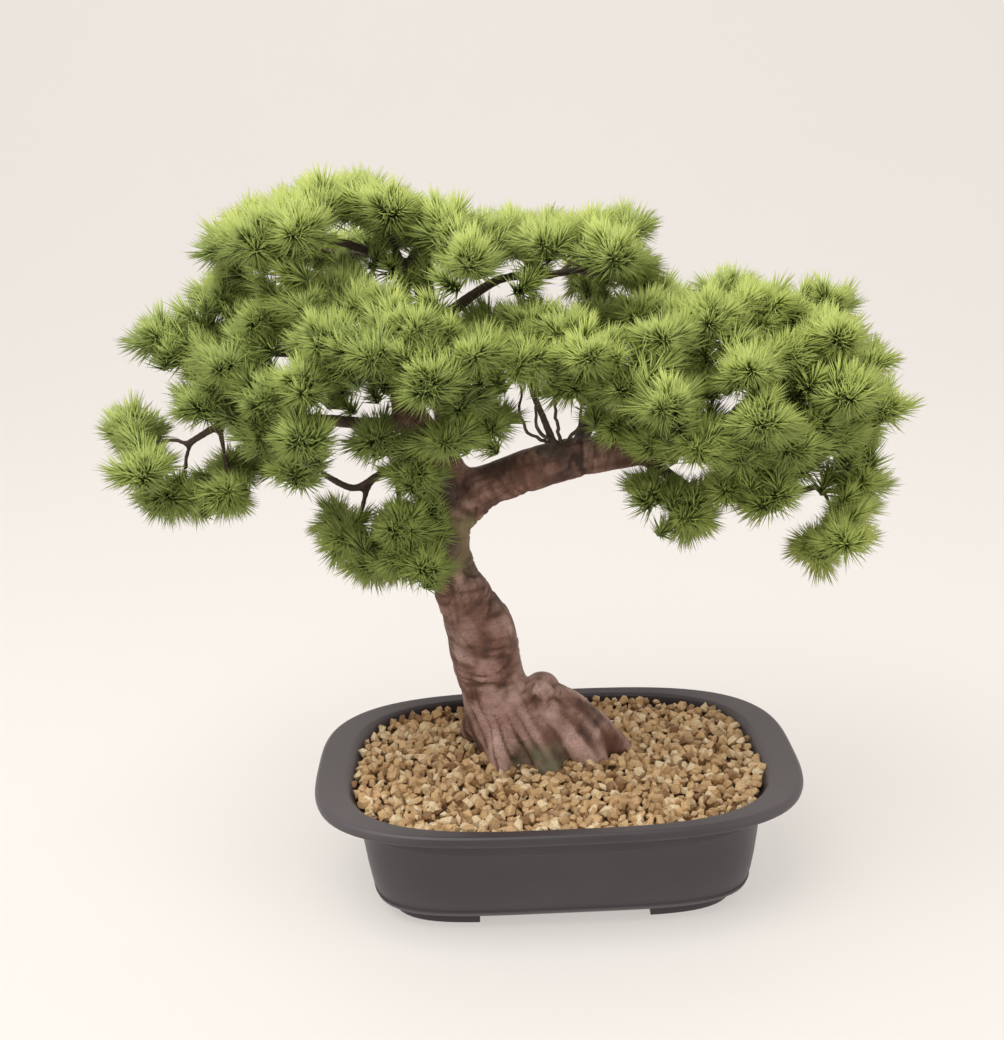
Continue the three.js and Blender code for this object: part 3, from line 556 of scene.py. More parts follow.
def mottle_group():
    """Soft blotches and fine specks over a surface, shared by the bark, the stones and the tray."""
    group = bpy.data.node_groups.get("mottle")
    if group:
        return group
    group, inside, outside = new_group(
        "mottle",
        [("Vector", "NodeSocketVector", None), ("Scale", "NodeSocketFloat", 100.0),
         ("Grit", "NodeSocketFloat", 6.0)],
        [("Blotches", "NodeSocketFloat"), ("Specks", "NodeSocketFloat")])
    vector, scale, grit = (inside.outputs[name] for name in ("Vector", "Scale", "Grit"))
    blotches = node(group, "TexNoise", Vector=vector, Scale=scale, Detail=5.0, Roughness=0.6)
    fine = math_node(group, "MULTIPLY", scale, grit)
    specks = node(group, "TexNoise", Vector=vector, Scale=fine, Detail=3.0, Roughness=0.7)
    group.links.new(blotches.outputs["Fac"], outside.inputs["Blotches"])
    group.links.new(specks.outputs["Fac"], outside.inputs["Specks"])
    return group


def mottle(tree, vector, scale, grit=6.0):
    made = tree.nodes.new("ShaderNodeGroup")
    made.node_tree = mottle_group()
    tree.links.new(vector, made.inputs["Vector"])
    made.inputs["Scale"].default_value = scale
    made.inputs["Grit"].default_value = grit
    return made.outputs["Blotches"], made.outputs["Specks"]


def new_material(name):
    material = bpy.data.materials.new(name)
    material.use_nodes = True
    tree = material.node_tree
    shader = tree.nodes["Principled BSDF"]
    place = node(tree, "TexCoord").outputs["Object"]
    return material, tree, shader, place


def bumped(tree, shader, height, strength, distance):
    bump = node(tree, "Bump", Height=height, Strength=strength, Distance=distance)
    tree.links.new(bump.outputs["Normal"], shader.inputs["Normal"])


def mottled_material(name, scale, grit, stops, roughness, strength, distance):
    """A rough material that changes colour in blotches and has specks that stand out a little."""
    material, tree, shader, place = new_material(name)
    blotches, specks = mottle(tree, place, scale, grit)
    tree.links.new(ramp(tree, blotches, stops), shader.inputs["Base Color"])
    shader.inputs["Roughness"].default_value = roughness
    bumped(tree, shader, specks, strength, distance)
    return material


def fading(tree, value, start, pace):
    """0 up to a start and then up to 1 at a pace."""
    return math_node(tree, "MULTIPLY", math_node(tree, "SUBTRACT", value, start), pace, clamp=True)


# Where the painted highlight starts on the lip and towards the tray's ends, in metres, and how fast it sets
# in
LIP_HIGHLIGHT_FROM, LIP_PACE = 0.0565, 220.0
ENDS_FROM, ENDS_PACE = 0.06, 22.0
ROUGHNESS_SWAY = 0.22


def plastic_material(settings):
    material, tree, shader, place = new_material("tray_plastic")
    blotches, specks = mottle(tree, place, 22.0, 60.0)
    base, lip = Vector(settings.plastic), Vector(settings.lip)
    wall = ramp(tree, blotches, ((0.3, base * 0.86), (0.7, base * 1.12)))
    # The lip colour goes as a painted highlight on the top of the lip towards the tray's ends
    dust_and_highlight = ramp(tree, blotches, ((0.3, lip * 0.88), (0.7, lip * 1.12)))
    apart = node(tree, "SeparateXYZ", Vector=place).outputs
    raised = fading(tree, apart["Z"], LIP_HIGHLIGHT_FROM, LIP_PACE)
    aside = math_node(tree, "ABSOLUTE", math_node(tree, "SUBTRACT", apart["X"], TRAY_MIDDLE.x))
    lip_highlight = math_node(tree, "MULTIPLY", raised, fading(tree, aside, ENDS_FROM, ENDS_PACE))
    tree.links.new(mixed(tree, lip_highlight, wall, dust_and_highlight), shader.inputs["Base Color"])
    rough = math_node(tree, "MULTIPLY_ADD", blotches, ROUGHNESS_SWAY)
    rough.node.inputs[2].default_value = settings.roughness - ROUGHNESS_SWAY / 2
    tree.links.new(rough, shader.inputs["Roughness"])
    shader.inputs["Specular IOR Level"].default_value = 0.42
    bumped(tree, shader, specks, 0.12, 0.0004)
    return material


def stone_material(settings):
    material, tree, shader, place = new_material("gravel_stone")
    blotches, specks = mottle(tree, place, 240.0, 4.0)
    tone = math_node(tree, "MULTIPLY_ADD", blotches, 0.3)
    tree.links.new(attribute(tree, "tone"), tone.node.inputs[2])
    shade = math_node(tree, "SUBTRACT", tone, 0.15, clamp=True)
    brown, tan, pale = (Vector(colour) for colour in (settings.brown, settings.tan, settings.pale))
    colour = ramp(tree, shade, (
        (0.0, brown * 0.8), (0.14, brown), (0.34, tan * 0.82), (0.64, tan * 1.08), (0.86, pale * 0.92),
        (1.0, pale)))
    stain = ramp(tree, specks, ((0.34, (0.45,) * 3), (0.48, (0, 0, 0))))
    tree.links.new(mixed(tree, stain, colour, (*settings.brown, 1)), shader.inputs["Base Color"])
    shader.inputs["Roughness"].default_value = 0.5
    bumped(tree, shader, specks, 0.5, 0.0006)
    return material


def bed_material(settings):
    """The grit and shade between the stones."""
    brown = Vector(settings.brown)
    stops = ((0.35, brown * 0.3), (0.6, brown * 0.55), (0.8, brown * 0.9))
    return mottled_material("gravel_bed", 300.0, 4.0, stops, 0.9, 0.8, 0.001)


def soil_material():
    stops = ((0.3, from_screen(34, 25, 19)), (0.6, from_screen(66, 50, 38)),
             (0.8, from_screen(98, 78, 60)))
    return mottled_material("potting_soil", 140.0, 5.0, stops, 0.95, 0.9, 0.0015)


def twig_material(settings):
    base = Vector(settings.twig)
    stops = ((0.3, base * 0.6), (0.7, base * 1.5))
    return mottled_material("thin_twig", 180.0, 5.0, stops, 0.75, 0.6, 0.0004)


RUDDY = (0.235, 0.098, 0.062)


def bark_material(settings):
    """Bark that is dark in its wrinkles as painted shade, pale on its ridges as a painted highlight, with
    ruddy clouds, moss and thin twigs.
    """
    material, tree, shader, place = new_material("pine_bark")
    stretch = node(tree, "Mapping", Vector=attribute(tree, "grain", "Vector"), Scale=(1.0, 1.0, 2.6))
    blotches, specks = mottle(tree, stretch.outputs["Vector"], 0.11, 6.0)
    clouds, _ = mottle(tree, place, 42.0, 2.0)
    # The relief's height picks the colour: painted shade in the wrinkles, the bark's own flank colour
    # between, and a painted highlight on the ridges
    highlit = math_node(tree, "MULTIPLY_ADD", blotches, 0.55)
    tree.links.new(attribute(tree, "height"), highlit.node.inputs[2])
    highlit = math_node(tree, "SUBTRACT", highlit, 0.27, clamp=True)
    furrow, flank, ridge = (Vector(colour) for colour in (settings.furrow, settings.flank, settings.ridge))
    colour = ramp(tree, highlit, (
        (0.0, furrow * 0.7), (0.22, furrow), (0.45, flank), (0.72, ridge), (1.0, ridge * 1.25)))
    ruddy = mixed(tree, ramp(tree, clouds, ((0.42, (0, 0, 0)), (0.62, (0.55,) * 3))), colour,
                  (*RUDDY, 1))
    dust_and_highlight = mixed(tree, ramp(tree, specks, ((0.36, (0.38,) * 3), (0.54, (0, 0, 0)))), ruddy,
                  (*(furrow * 0.9), 1))
    thin = mixed(tree, attribute(tree, "thin"), dust_and_highlight, (*settings.twig, 1))
    olive = mixed(tree, attribute(tree, "olive"), thin, (*settings.olive, 1))
    mossy = mixed(tree, attribute(tree, "moss"), olive, (*settings.moss, 1))
    tree.links.new(mossy, shader.inputs["Base Color"])
    shader.inputs["Roughness"].default_value = 0.66
    bumped(tree, shader, math_node(tree, "ADD", blotches, specks), 0.6, 0.0011)
    return material


def needle_material(settings):
    """Needles that pale from painted shade at the root to the tip, more so in painted sunlight, and darken
    inside the crown in painted shade.
    """
    material, tree, shader, place = new_material("pine_needle")
    blotches, specks = mottle(tree, place, 38.0, 8.0)
    tone = math_node(tree, "ADD", attribute(tree, "tone"), math_node(tree, "SUBTRACT", blotches, 0.5))
    sun = math_node(tree, "ADD", attribute(tree, "sun"), math_node(tree, "MULTIPLY", tone, 0.5), True)
    shadowed, green, fresh = (Vector(colour) for colour in (settings.shadowed, settings.green, settings.fresh))
    reach = math_node(tree, "ADD", attribute(tree, "tip"), math_node(tree, "MULTIPLY", tone, 0.3), True)
    # One ramp holds the needles' colours in painted shade, the other the same colours in painted sunlight;
    # the sun note mixes them
    grown = ramp(tree, reach, (
        (0.0, shadowed * 0.85), (0.3, shadowed.lerp(green, 0.35)), (0.62, green), (1.0, green.lerp(fresh, 0.4))))
    sunlit = ramp(tree, reach, (
        (0.0, shadowed), (0.25, green), (0.6, green.lerp(fresh, 0.7)), (1.0, fresh)))
    colour = mixed(tree, sun, grown, sunlit)
    shaded = mixed(tree, attribute(tree, "shade"), colour, (*settings.shade, 1), "MULTIPLY")
    tree.links.new(shaded, shader.inputs["Base Color"])
    shader.inputs["Roughness"].default_value = 0.45
    shader.inputs["Specular IOR Level"].default_value = 0.35
    bumped(tree, shader, specks, 0.2, 0.0002)
    return material


def paper_material(settings):
    material, tree, shader, place = new_material("studio_paper")
    blotches, specks = mottle(tree, place, 3.0, 40.0)
    base = Vector(settings.paper)
    tone = ramp(tree, blotches, ((0.2, base * 0.985), (0.8, base)))
    tree.links.new(tone, shader.inputs["Base Color"])
    tree.links.new(tone, shader.inputs["Emission Color"])
    shader.inputs["Emission Strength"].default_value = settings.glow
    shader.inputs["Roughness"].default_value = 0.6
    bumped(tree, shader, specks, 0.02, 0.0005)
    return material


# The tray, its soil and its gravel

class BONSAI_OT_tray(bpy.types.Operator):
    """Moulds the oval tray with its wide lip and its four low feet"""
    bl_idname = "bonsai.tray"
    bl_label = "Tray"

    def execute(self, context):
        settings = context.scene.bonsai_tray
        tray = Growth()
        tray.add(mesh_of(pressed(TRAY_RINGS, settings.steps)), Matrix())
        foot = pressed(FOOT_RING, settings.steps)
        for normal, distance in zip(((1, 0, 0), (0, 1, 0)), FOOT_GAP_HALF):
            bmesh.ops.bisect_plane(foot, geom=[*foot.verts, *foot.edges, *foot.faces], dist=0.001,
                                   plane_co=Vector(normal) * distance, plane_no=normal, clear_inner=True)
            rims = [edge for edge in foot.edges if edge.is_boundary]
            bmesh.ops.holes_fill(foot, edges=rims, sides=0)
        bmesh.ops.recalc_face_normals(foot, faces=foot.faces)
        foot = mesh_of(foot)
        for turn in ((1, 1), (-1, 1), (1, -1), (-1, -1)):
            tray.add(foot, Matrix.Diagonal((*turn, 1, 1)))
        bmesh.ops.recalc_face_normals(tray.bm, faces=tray.bm.faces)
        piece = keep("tray", tray.finish(), [plastic_material(settings)], ["pot"])
        bevel = piece.modifiers.new("moulded_edges", "BEVEL")
        bevel.width = settings.edge
        bevel.segments = 3
        bevel.limit_method = "ANGLE"
        bevel.angle_limit = math.radians(28)
        return {"FINISHED"}


class BONSAI_OT_soil(bpy.types.Operator):
    """Gives the soil under the gravel its earth"""
    bl_idname = "bonsai.soil"
    bl_label = "Soil"

    def execute(self, context):
        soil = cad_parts["soil"]
        soil.data.materials.clear()
        soil.data.materials.append(soil_material())
        return {"FINISHED"}


def stone_shape(draw):
    """A chip of broken stone of sixteen faces, about one unit long."""
    bm = bmesh.new()
    corners = 10
    for index in range(corners):
        height = 1 - (2 * index + 1) / corners
        turn = index * GOLDEN_TURN + draw.uniform(-0.5, 0.5)
        across = math.sqrt(1 - height ** 2)
        corner = Vector((across * math.cos(turn), across * math.sin(turn), height))
        bm.verts.new(corner * draw.uniform(0.4, 0.54))
    bmesh.ops.convex_hull(bm, input=bm.verts)
    inner = [vert for vert in bm.verts if not vert.link_faces]
    bmesh.ops.delete(bm, geom=inner, context="VERTS")
    size = (1, draw.uniform(0.68, 0.92), draw.uniform(0.5, 0.74))
    bmesh.ops.scale(bm, vec=size, verts=bm.verts)
    bmesh.ops.recalc_face_normals(bm, faces=bm.faces)
    return mesh_of(bm)


class BONSAI_OT_gravel(bpy.types.Operator):
    """Lays the bed of grit and two layers of loose stones round the foot of the trunk"""
    bl_idname = "bonsai.gravel"
    bl_label = "Gravel"

    def execute(self, context):
        settings = context.scene.bonsai_gravel
        length, depth = GRAVEL_HALF
        rings = [(0, 0, BED_FLOOR), (length, depth, BED_FLOOR)]
        rings += [(length * k / 12, depth * k / 12, BED_TOP) for k in range(12, -1, -1)]
        bed = pressed(rings, 96)
        for vert in bed.verts:
            if vert.co.z > BED_FLOOR + 1:
                vert.co.z += BED_WAVE * noise.noise(vert.co * BED_PACE)
        keep("gravel_bed", mesh_of(bed), [bed_material(settings)], ["gravel"])
        keep("gravel_stones", self.stones(settings), [stone_material(settings)], smooth=False)
        return {"FINISHED"}

    @staticmethod
    def stones(settings):
        """Loose stones of a dozen shapes, turned any way, with none inside the foot of the trunk."""
        draw = random.Random(settings.seed)
        length, pitch = settings.stone / MM, settings.pitch / MM
        shapes = [stone_shape(draw) for _ in range(12)]
        foot = [(place, radius) for limb in (TRUNK, *ROOTS) for place, radius in sampled(limb)]
        stones = Growth()
        columns, rows = (math.ceil(half * 2 / pitch) + 2 for half in GRAVEL_TOP_HALF)
        for layer, share, half in LAYERS:
            for column, row in product(range(columns), range(round(rows / ROW_STEP))):
                x = (column - columns / 2 + (row % 2) / 2 + draw.uniform(-0.3, 0.3)) * pitch
                y = ((row + layer / 2) * ROW_STEP - rows / 2 + draw.uniform(-0.3, 0.3)) * pitch
                z = FIRST_LAYER + layer * LAYER_STEP + draw.uniform(-STONE_STRAY, STONE_STRAY)
                size = length * draw.triangular(0.6, 1.2, 0.9)
                turn = Quaternion([draw.gauss(0, 1) for _ in range(4)]).normalized()
                shape, tone, kept = draw.choice(shapes), draw.betavariate(2.4, 2.0), draw.random()
                centre = Vector((x, y, z))
                edge = 0 if within(x, y, GRAVEL_HALF, EDGE_MARGIN) else 1
                centre.z += EDGE_RISE * edge
                if kept > share + 0.3 * edge or not within(x, y, half, 0.3 * size):
                    continue
                if any((centre - place).length < radius - 0.3 * size for place, radius in foot):
                    continue
                matrix = placed(*centre) @ turn.to_matrix().to_4x4() @ Matrix.Scale(size, 4)
                stones.add(shape, matrix, tone=tone)
        return stones.finish()


# The wood

# The foot: the line that its flutes run out from, and where they fade out upwards
FOOT_MIDDLE, FOOT_ROOF = Vector((-8, 20, 60)), Vector((-34, 20, 110))
FLUTES_END, FLUTES_FADE = 98, 22
# The paces of the bark's lumps, patches, wrinkles (across the limb) and grooves (along it), per mm
LUMPS, PATCHES, WARP, WARP_DEPTH = 0.07, 0.05, 0.05, 5
WRINKLES, GROOVES = Vector((0.055, 0.055, 0.2)), Vector((0.16, 0.16, 0.03))
# Two folds round the trunk: their heights, how far they waver and reach, and where they end on its right
FOLDS, FOLD_WAVER, FOLD_REACH, FOLD_END = (103, 149), 2.5, 1.5, -14
# How the bark's relief adds up: its mean level, the rise of a lump and the cut of each furrow
MEAN, LUMP_RISE, WRINKLE_CUT, GROOVE_CUT, FLUTE_CUT, FOLD_CUT = 0.64, 0.36, 0.4, 0.16, 0.5, 0.25
# The relief moves the surface out above this level and in below it; thin limbs move less
STILL_LEVEL, RELIEF, RELIEF_SHARE = 0.6, 2.2, 0.16
# Steps of smoothing: of all the wood, and then more of the stout trunk and of the crotch under the bough
SMOOTH_ALL, SMOOTH_STOUT, SMOOTH_CROTCH = 5, 20, 34
STOUT, NECK_TOP, CROTCH_REACH = 9, 208, 24
# The bark is palest at the foot and darkens upwards: from which height, over what height, by how much
PALE_FOOT, DARKENING = 0.11, ((94, 10, 0.13), (104, 110, 0.13))
# The bare olive stretch of the neck, the moss at the foot, and the limbs thin enough to be dark
BARE_MIDDLE, BARE_HALF, BARE_TINT = 187, 26, 0.85
MOSS_MIDDLE, MOSS_REACH, MOSS_FADE = Vector((-8, -4, 55)), 22, 9
THIN_FROM, THIN_FADE, THIN_TINT = 6.5, 3.5, 0.8
TINT_BLENDS = 14


def spine_samples(limbs):
    """Places along the heart of every limb, each with its direction, cross frame, radius and length."""
    samples = []
    for kind, limb in limbs:
        run = sampled(limb, 2.0)
        side = None
        length = 0.0
        for index, (place, radius) in enumerate(run):
            after = run[min(index + 1, len(run) - 1)][0]
            before = run[max(index - 1, 0)][0]
            ahead = (after - before).normalized()
            side = ahead.orthogonal() if side is None else side - ahead * side.dot(ahead)
            side.normalize()
            length += (place - run[index - 1][0]).length if index else 0
            samples.append((place, ahead, side, ahead.cross(side), radius, length, kind))
    return samples


def creased(value, sharpness):
    """1 along the narrow lines where a noise crosses nothing, 0 away from them."""
    return max(0.0, 1 - abs(value) * sharpness)


def bark_height(place, grain, foot):
    """Height of the bark from 0 in the wrinkles to 1 on the lumps, where its colour is a painted highlight;
    grain follows the limb.
    """
    lumps = noise.fractal(place * LUMPS, 0.9, 2.0, 2)
    warped = grain + noise.noise_vector(grain * WARP) * WARP_DEPTH
    wrinkle = creased(noise.noise(warped * WRINKLES), 5)
    patch = clamped(0.45 + 1.6 * noise.noise(place * PATCHES + Vector((7, 3, 1))))
    groove = creased(noise.noise(warped * GROOVES), 4)
    share = (place.z - FOOT_MIDDLE.z) / (FOOT_ROOF.z - FOOT_MIDDLE.z)
    outward = (place - FOOT_MIDDLE.lerp(FOOT_ROOF, share)) * LEVEL
    flute = creased(noise.noise(outward.normalized() * 5 + UP * outward.length * 0.02), 3)
    waver = FOLD_WAVER * noise.noise(place * LUMPS)
    fold = max(math.exp(-((place.z - level - waver) / FOLD_REACH) ** 2) for level in FOLDS)
    fold *= clamped(0.3 + 2 * noise.noise(place * 0.06)) * clamped(0.1 * (FOLD_END - place.x))
    height = MEAN + LUMP_RISE * lumps - (WRINKLE_CUT * wrinkle * patch + GROOVE_CUT * groove) * (1 - foot)
    return clamped(height - FLUTE_CUT * flute * foot - FOLD_CUT * fold)


def softened(values, edges, times):
    """Blends the number of each vertex with those of its neighbours, again and again."""
    near, far = edges.T
    neighbours = np.bincount(edges.ravel(), minlength=len(values))
    for _ in range(times):
        total = (np.bincount(near, weights=values[far], minlength=len(values))
                 + np.bincount(far, weights=values[near], minlength=len(values)))
        values = (values + total / neighbours) / 2
    return values


class BONSAI_OT_wood(bpy.types.Operator):
    """Grows the trunk, roots, burls and boughs as one piece of wood and furrows its bark"""
    bl_idname = "bonsai.wood"
    bl_label = "Wood"

    def execute(self, context):
        settings = context.scene.bonsai_wood
        noise.seed_set(settings.seed)
        branchlets = [branchlet_for(bough, share, tufts) for _, bough, share, tufts in SPRAYS]
        limbs = [("trunk", TRUNK), *(("root", self.sunk(root)) for root in ROOTS),
                 *(("bough", bough) for bough in BOUGHS.values()),
                 *(("branchlet", branchlet) for branchlet in branchlets)]
        wood = bmesh.new()
        wood.from_mesh(self.fused(context, limbs, settings.grain / MM))
        samples = spine_samples(limbs)
        tree = kdtree.KDTree(len(samples))
        for index, sample in enumerate(samples):
            tree.insert(sample[0], index)
        tree.balance()

        def beside(place):
            """The sample of the limb whose surface is nearest to a place."""
            hits = tree.find_n(place, 6)
            return samples[min(hits, key=lambda hit: hit[2] - samples[hit[1]][4])[1]]

        self.smooth(wood, beside)
        self.furrow(wood, beside, settings)
        fan = tubes([tapered([self.crooked(along(points, k / 14)) for k in range(15)], 1.1, 0.6)
                     for points in FAN_TWIGS], 1)
        keep("fan_twigs", fan, [twig_material(settings)])
        return {"FINISHED"}

    @staticmethod
    def fused(context, limbs, cell):
        """All limbs and lumps, joined by cells into one skin."""
        rough = bmesh.new()
        rough.from_mesh(tubes([sampled(limb) for _, limb in limbs], 6))
        for place, radius in (*BURLS, *CROTCH_FILLETS):
            bmesh.ops.create_icosphere(rough, subdivisions=3, radius=radius, matrix=placed(*place))
        carrier = bpy.data.objects.new("rough_wood", mesh_of(rough))
        context.scene.collection.objects.link(carrier)
        fuse = carrier.modifiers.new("fuse", "REMESH")
        fuse.mode = "VOXEL"
        fuse.voxel_size = cell
        context.view_layer.update()
        skin = bpy.data.meshes.new_from_object(carrier.evaluated_get(context.evaluated_depsgraph_get()))
        bpy.data.objects.remove(carrier)
        return skin

    @staticmethod
    def smooth(wood, beside):
        """Takes the steps of the cells off the skin, and rounds the trunk and its crotch."""
        crotch_middle = Vector(CROTCH_FILLETS[0][0])
        stout = [vert for vert in wood.verts if vert.co.z < NECK_TOP and beside(vert.co)[4] > STOUT]
        crotch = [vert for vert in wood.verts
                  if (vert.co - crotch_middle).length < CROTCH_REACH and beside(vert.co)[4] > STOUT]
        for verts, times in ((wood.verts, SMOOTH_ALL), (stout, SMOOTH_STOUT), (crotch, SMOOTH_CROTCH)):
            for _ in range(times):
                bmesh.ops.smooth_vert(wood, verts=verts, factor=0.5, use_axis_x=True, use_axis_y=True,
                                      use_axis_z=True)
        wood.normal_update()

    @staticmethod
    def furrow(wood, beside, settings):
        """Raises the bark's relief, and notes for each place what its colour depends on."""
        notes = {name: [] for name in ("grain", "height", "thin", "olive", "moss")}
        depth = RELIEF * settings.bark / MM
        moves = []
        for vert in wood.verts:
            place, ahead, side, across, radius, length, kind = beside(vert.co)
            offset = vert.co - place
            grain = Vector((offset.dot(side), offset.dot(across), length + offset.dot(ahead)))
            height = bark_height(vert.co, grain, clamped((FLUTES_END - vert.co.z) / FLUTES_FADE))
            moves.append(vert.normal * (height - STILL_LEVEL) * min(depth, RELIEF_SHARE * radius))
            patch = clamped(0.5 + 0.9 * noise.noise(vert.co * 0.16))
            far = abs(vert.co.z - BARE_MIDDLE) / BARE_HALF
            bare = clamped(1.8 - 1.8 * far) if kind == "trunk" else 0.0
            darker = sum(by * clamped((vert.co.z - start) / over) for start, over, by in DARKENING)
            moss = (MOSS_REACH - (vert.co - MOSS_MIDDLE).length) / MOSS_FADE
            notes["grain"].append(grain)
            notes["height"].append(height + PALE_FOOT - darker)
            notes["thin"].append(clamped((THIN_FROM - radius) / THIN_FADE) * THIN_TINT)
            notes["olive"].append(bare * min(BARE_TINT, 1.4 * patch))
            notes["moss"].append(clamped(moss) * patch)
        for vert, move in zip(wood.verts, moves):
            vert.co += move
        mesh = mesh_of(wood)
        edges = np.empty(len(mesh.edges) * 2, int)
        mesh.edges.foreach_get("vertices", edges)
        for name in ("thin", "olive"):
            notes[name] = softened(np.array(notes[name]), edges.reshape(-1, 2), TINT_BLENDS)
        note(mesh, **notes)
        keep("wood", mesh, [bark_material(settings)], ["trunk"])

    @staticmethod
    def crooked(place):
        return place + noise.noise_vector(place * 0.16) * 2

    @staticmethod
    def sunk(root):
        """The root with its end led on under the gravel."""
        before, end = (Vector(point) for point in root["points"][-2:])
        thin = 0.7 * root["radii"][-1]
        return {"points": (*root["points"], end.lerp(before, -0.7)), "radii": (*root["radii"], thin)}


# The sprays of needles

# A shoot: its length, and how far its needles lean out at its foot and at its tip, in degrees
SHOOT_LENGTH = 10
LEAN_AT_FOOT, LEAN_AT_TIP, LEAN_STRAY = 70, 8, 14
# The radii of the twigs to a tuft and to a shoot, where they start and where they end
TUFT_TWIG, SHOOT_TWIG = (1.4, 1.0), (0.9, 0.7)
# Tufts this near have shoots between them, at these shares of the way from one to the other
CLOSE, BETWEEN = 40, (0.36, 0.64)
# The spread and the depth of the shade under a tuft
SHADE_SPREAD, SHADE_DEPTH = 500, 60
# Sunlight on the needles grows with the height in their tuft, to the right of a middle below the top of
# the crown, and under the crown, where light comes in from the sides
SUN_RISE, SUN_MIDDLE, CROWN_TOP, CROWN_FLOOR = 20, -20, 335, 270


def needle_shape(settings):
    """A slender three-sided needle along +Z."""
    length, thickness = settings.needle / MM, settings.thickness / MM
    bm = bmesh.new()
    bmesh.ops.create_cone(bm, cap_ends=True, cap_tris=True, segments=3, radius1=thickness / 2, radius2=0,
                          depth=length, matrix=placed(0, 0, length / 2))
    bmesh.ops.remove_doubles(bm, verts=bm.verts, dist=0.0001)
    middle = [vert for vert in bm.verts if vert.co.length < 0.01]
    bmesh.ops.dissolve_verts(bm, verts=middle)
    bmesh.ops.recalc_face_normals(bm, faces=bm.faces)
    return mesh_of(bm, "needle")


def shoot_shape(settings, needle, draw):
    """A shoot along +Z: needles set in a spiral, wide apart at its foot and closing up at its tip."""
    shoot = Growth()
    length = settings.needle / MM
    tips = np.array([vert.co.z / length for vert in needle.vertices])
    for index in range(settings.needles):
        share = (index + 0.5) / settings.needles
        lean = LEAN_AT_FOOT + (LEAN_AT_TIP - LEAN_AT_FOOT) * share ** 1.3
        lean = math.radians(lean + draw.uniform(-LEAN_STRAY, LEAN_STRAY))
        turn = index * GOLDEN_TURN + draw.uniform(-0.3, 0.3)
        size = draw.uniform(0.72, 1.06)
        matrix = (placed(0, 0, (share - 1) * SHOOT_LENGTH) @ Matrix.Rotation(turn, 4, "Z")
                  @ Matrix.Rotation(lean, 4, "Y") @ Matrix.Scale(size, 4))
        shoot.add(needle, matrix, tip=tips, tone=draw.uniform(-0.35, 0.35))
    notes = {name: np.concatenate(parts) for name, parts in shoot.notes.items()}
    return mesh_of(shoot.bm, "shoot"), notes["tip"], notes["tone"]


def turned_to(direction, spin):
    return (direction.to_track_quat("Z", "Y") @ Quaternion((0, 0, 1), spin)).to_matrix().to_4x4()


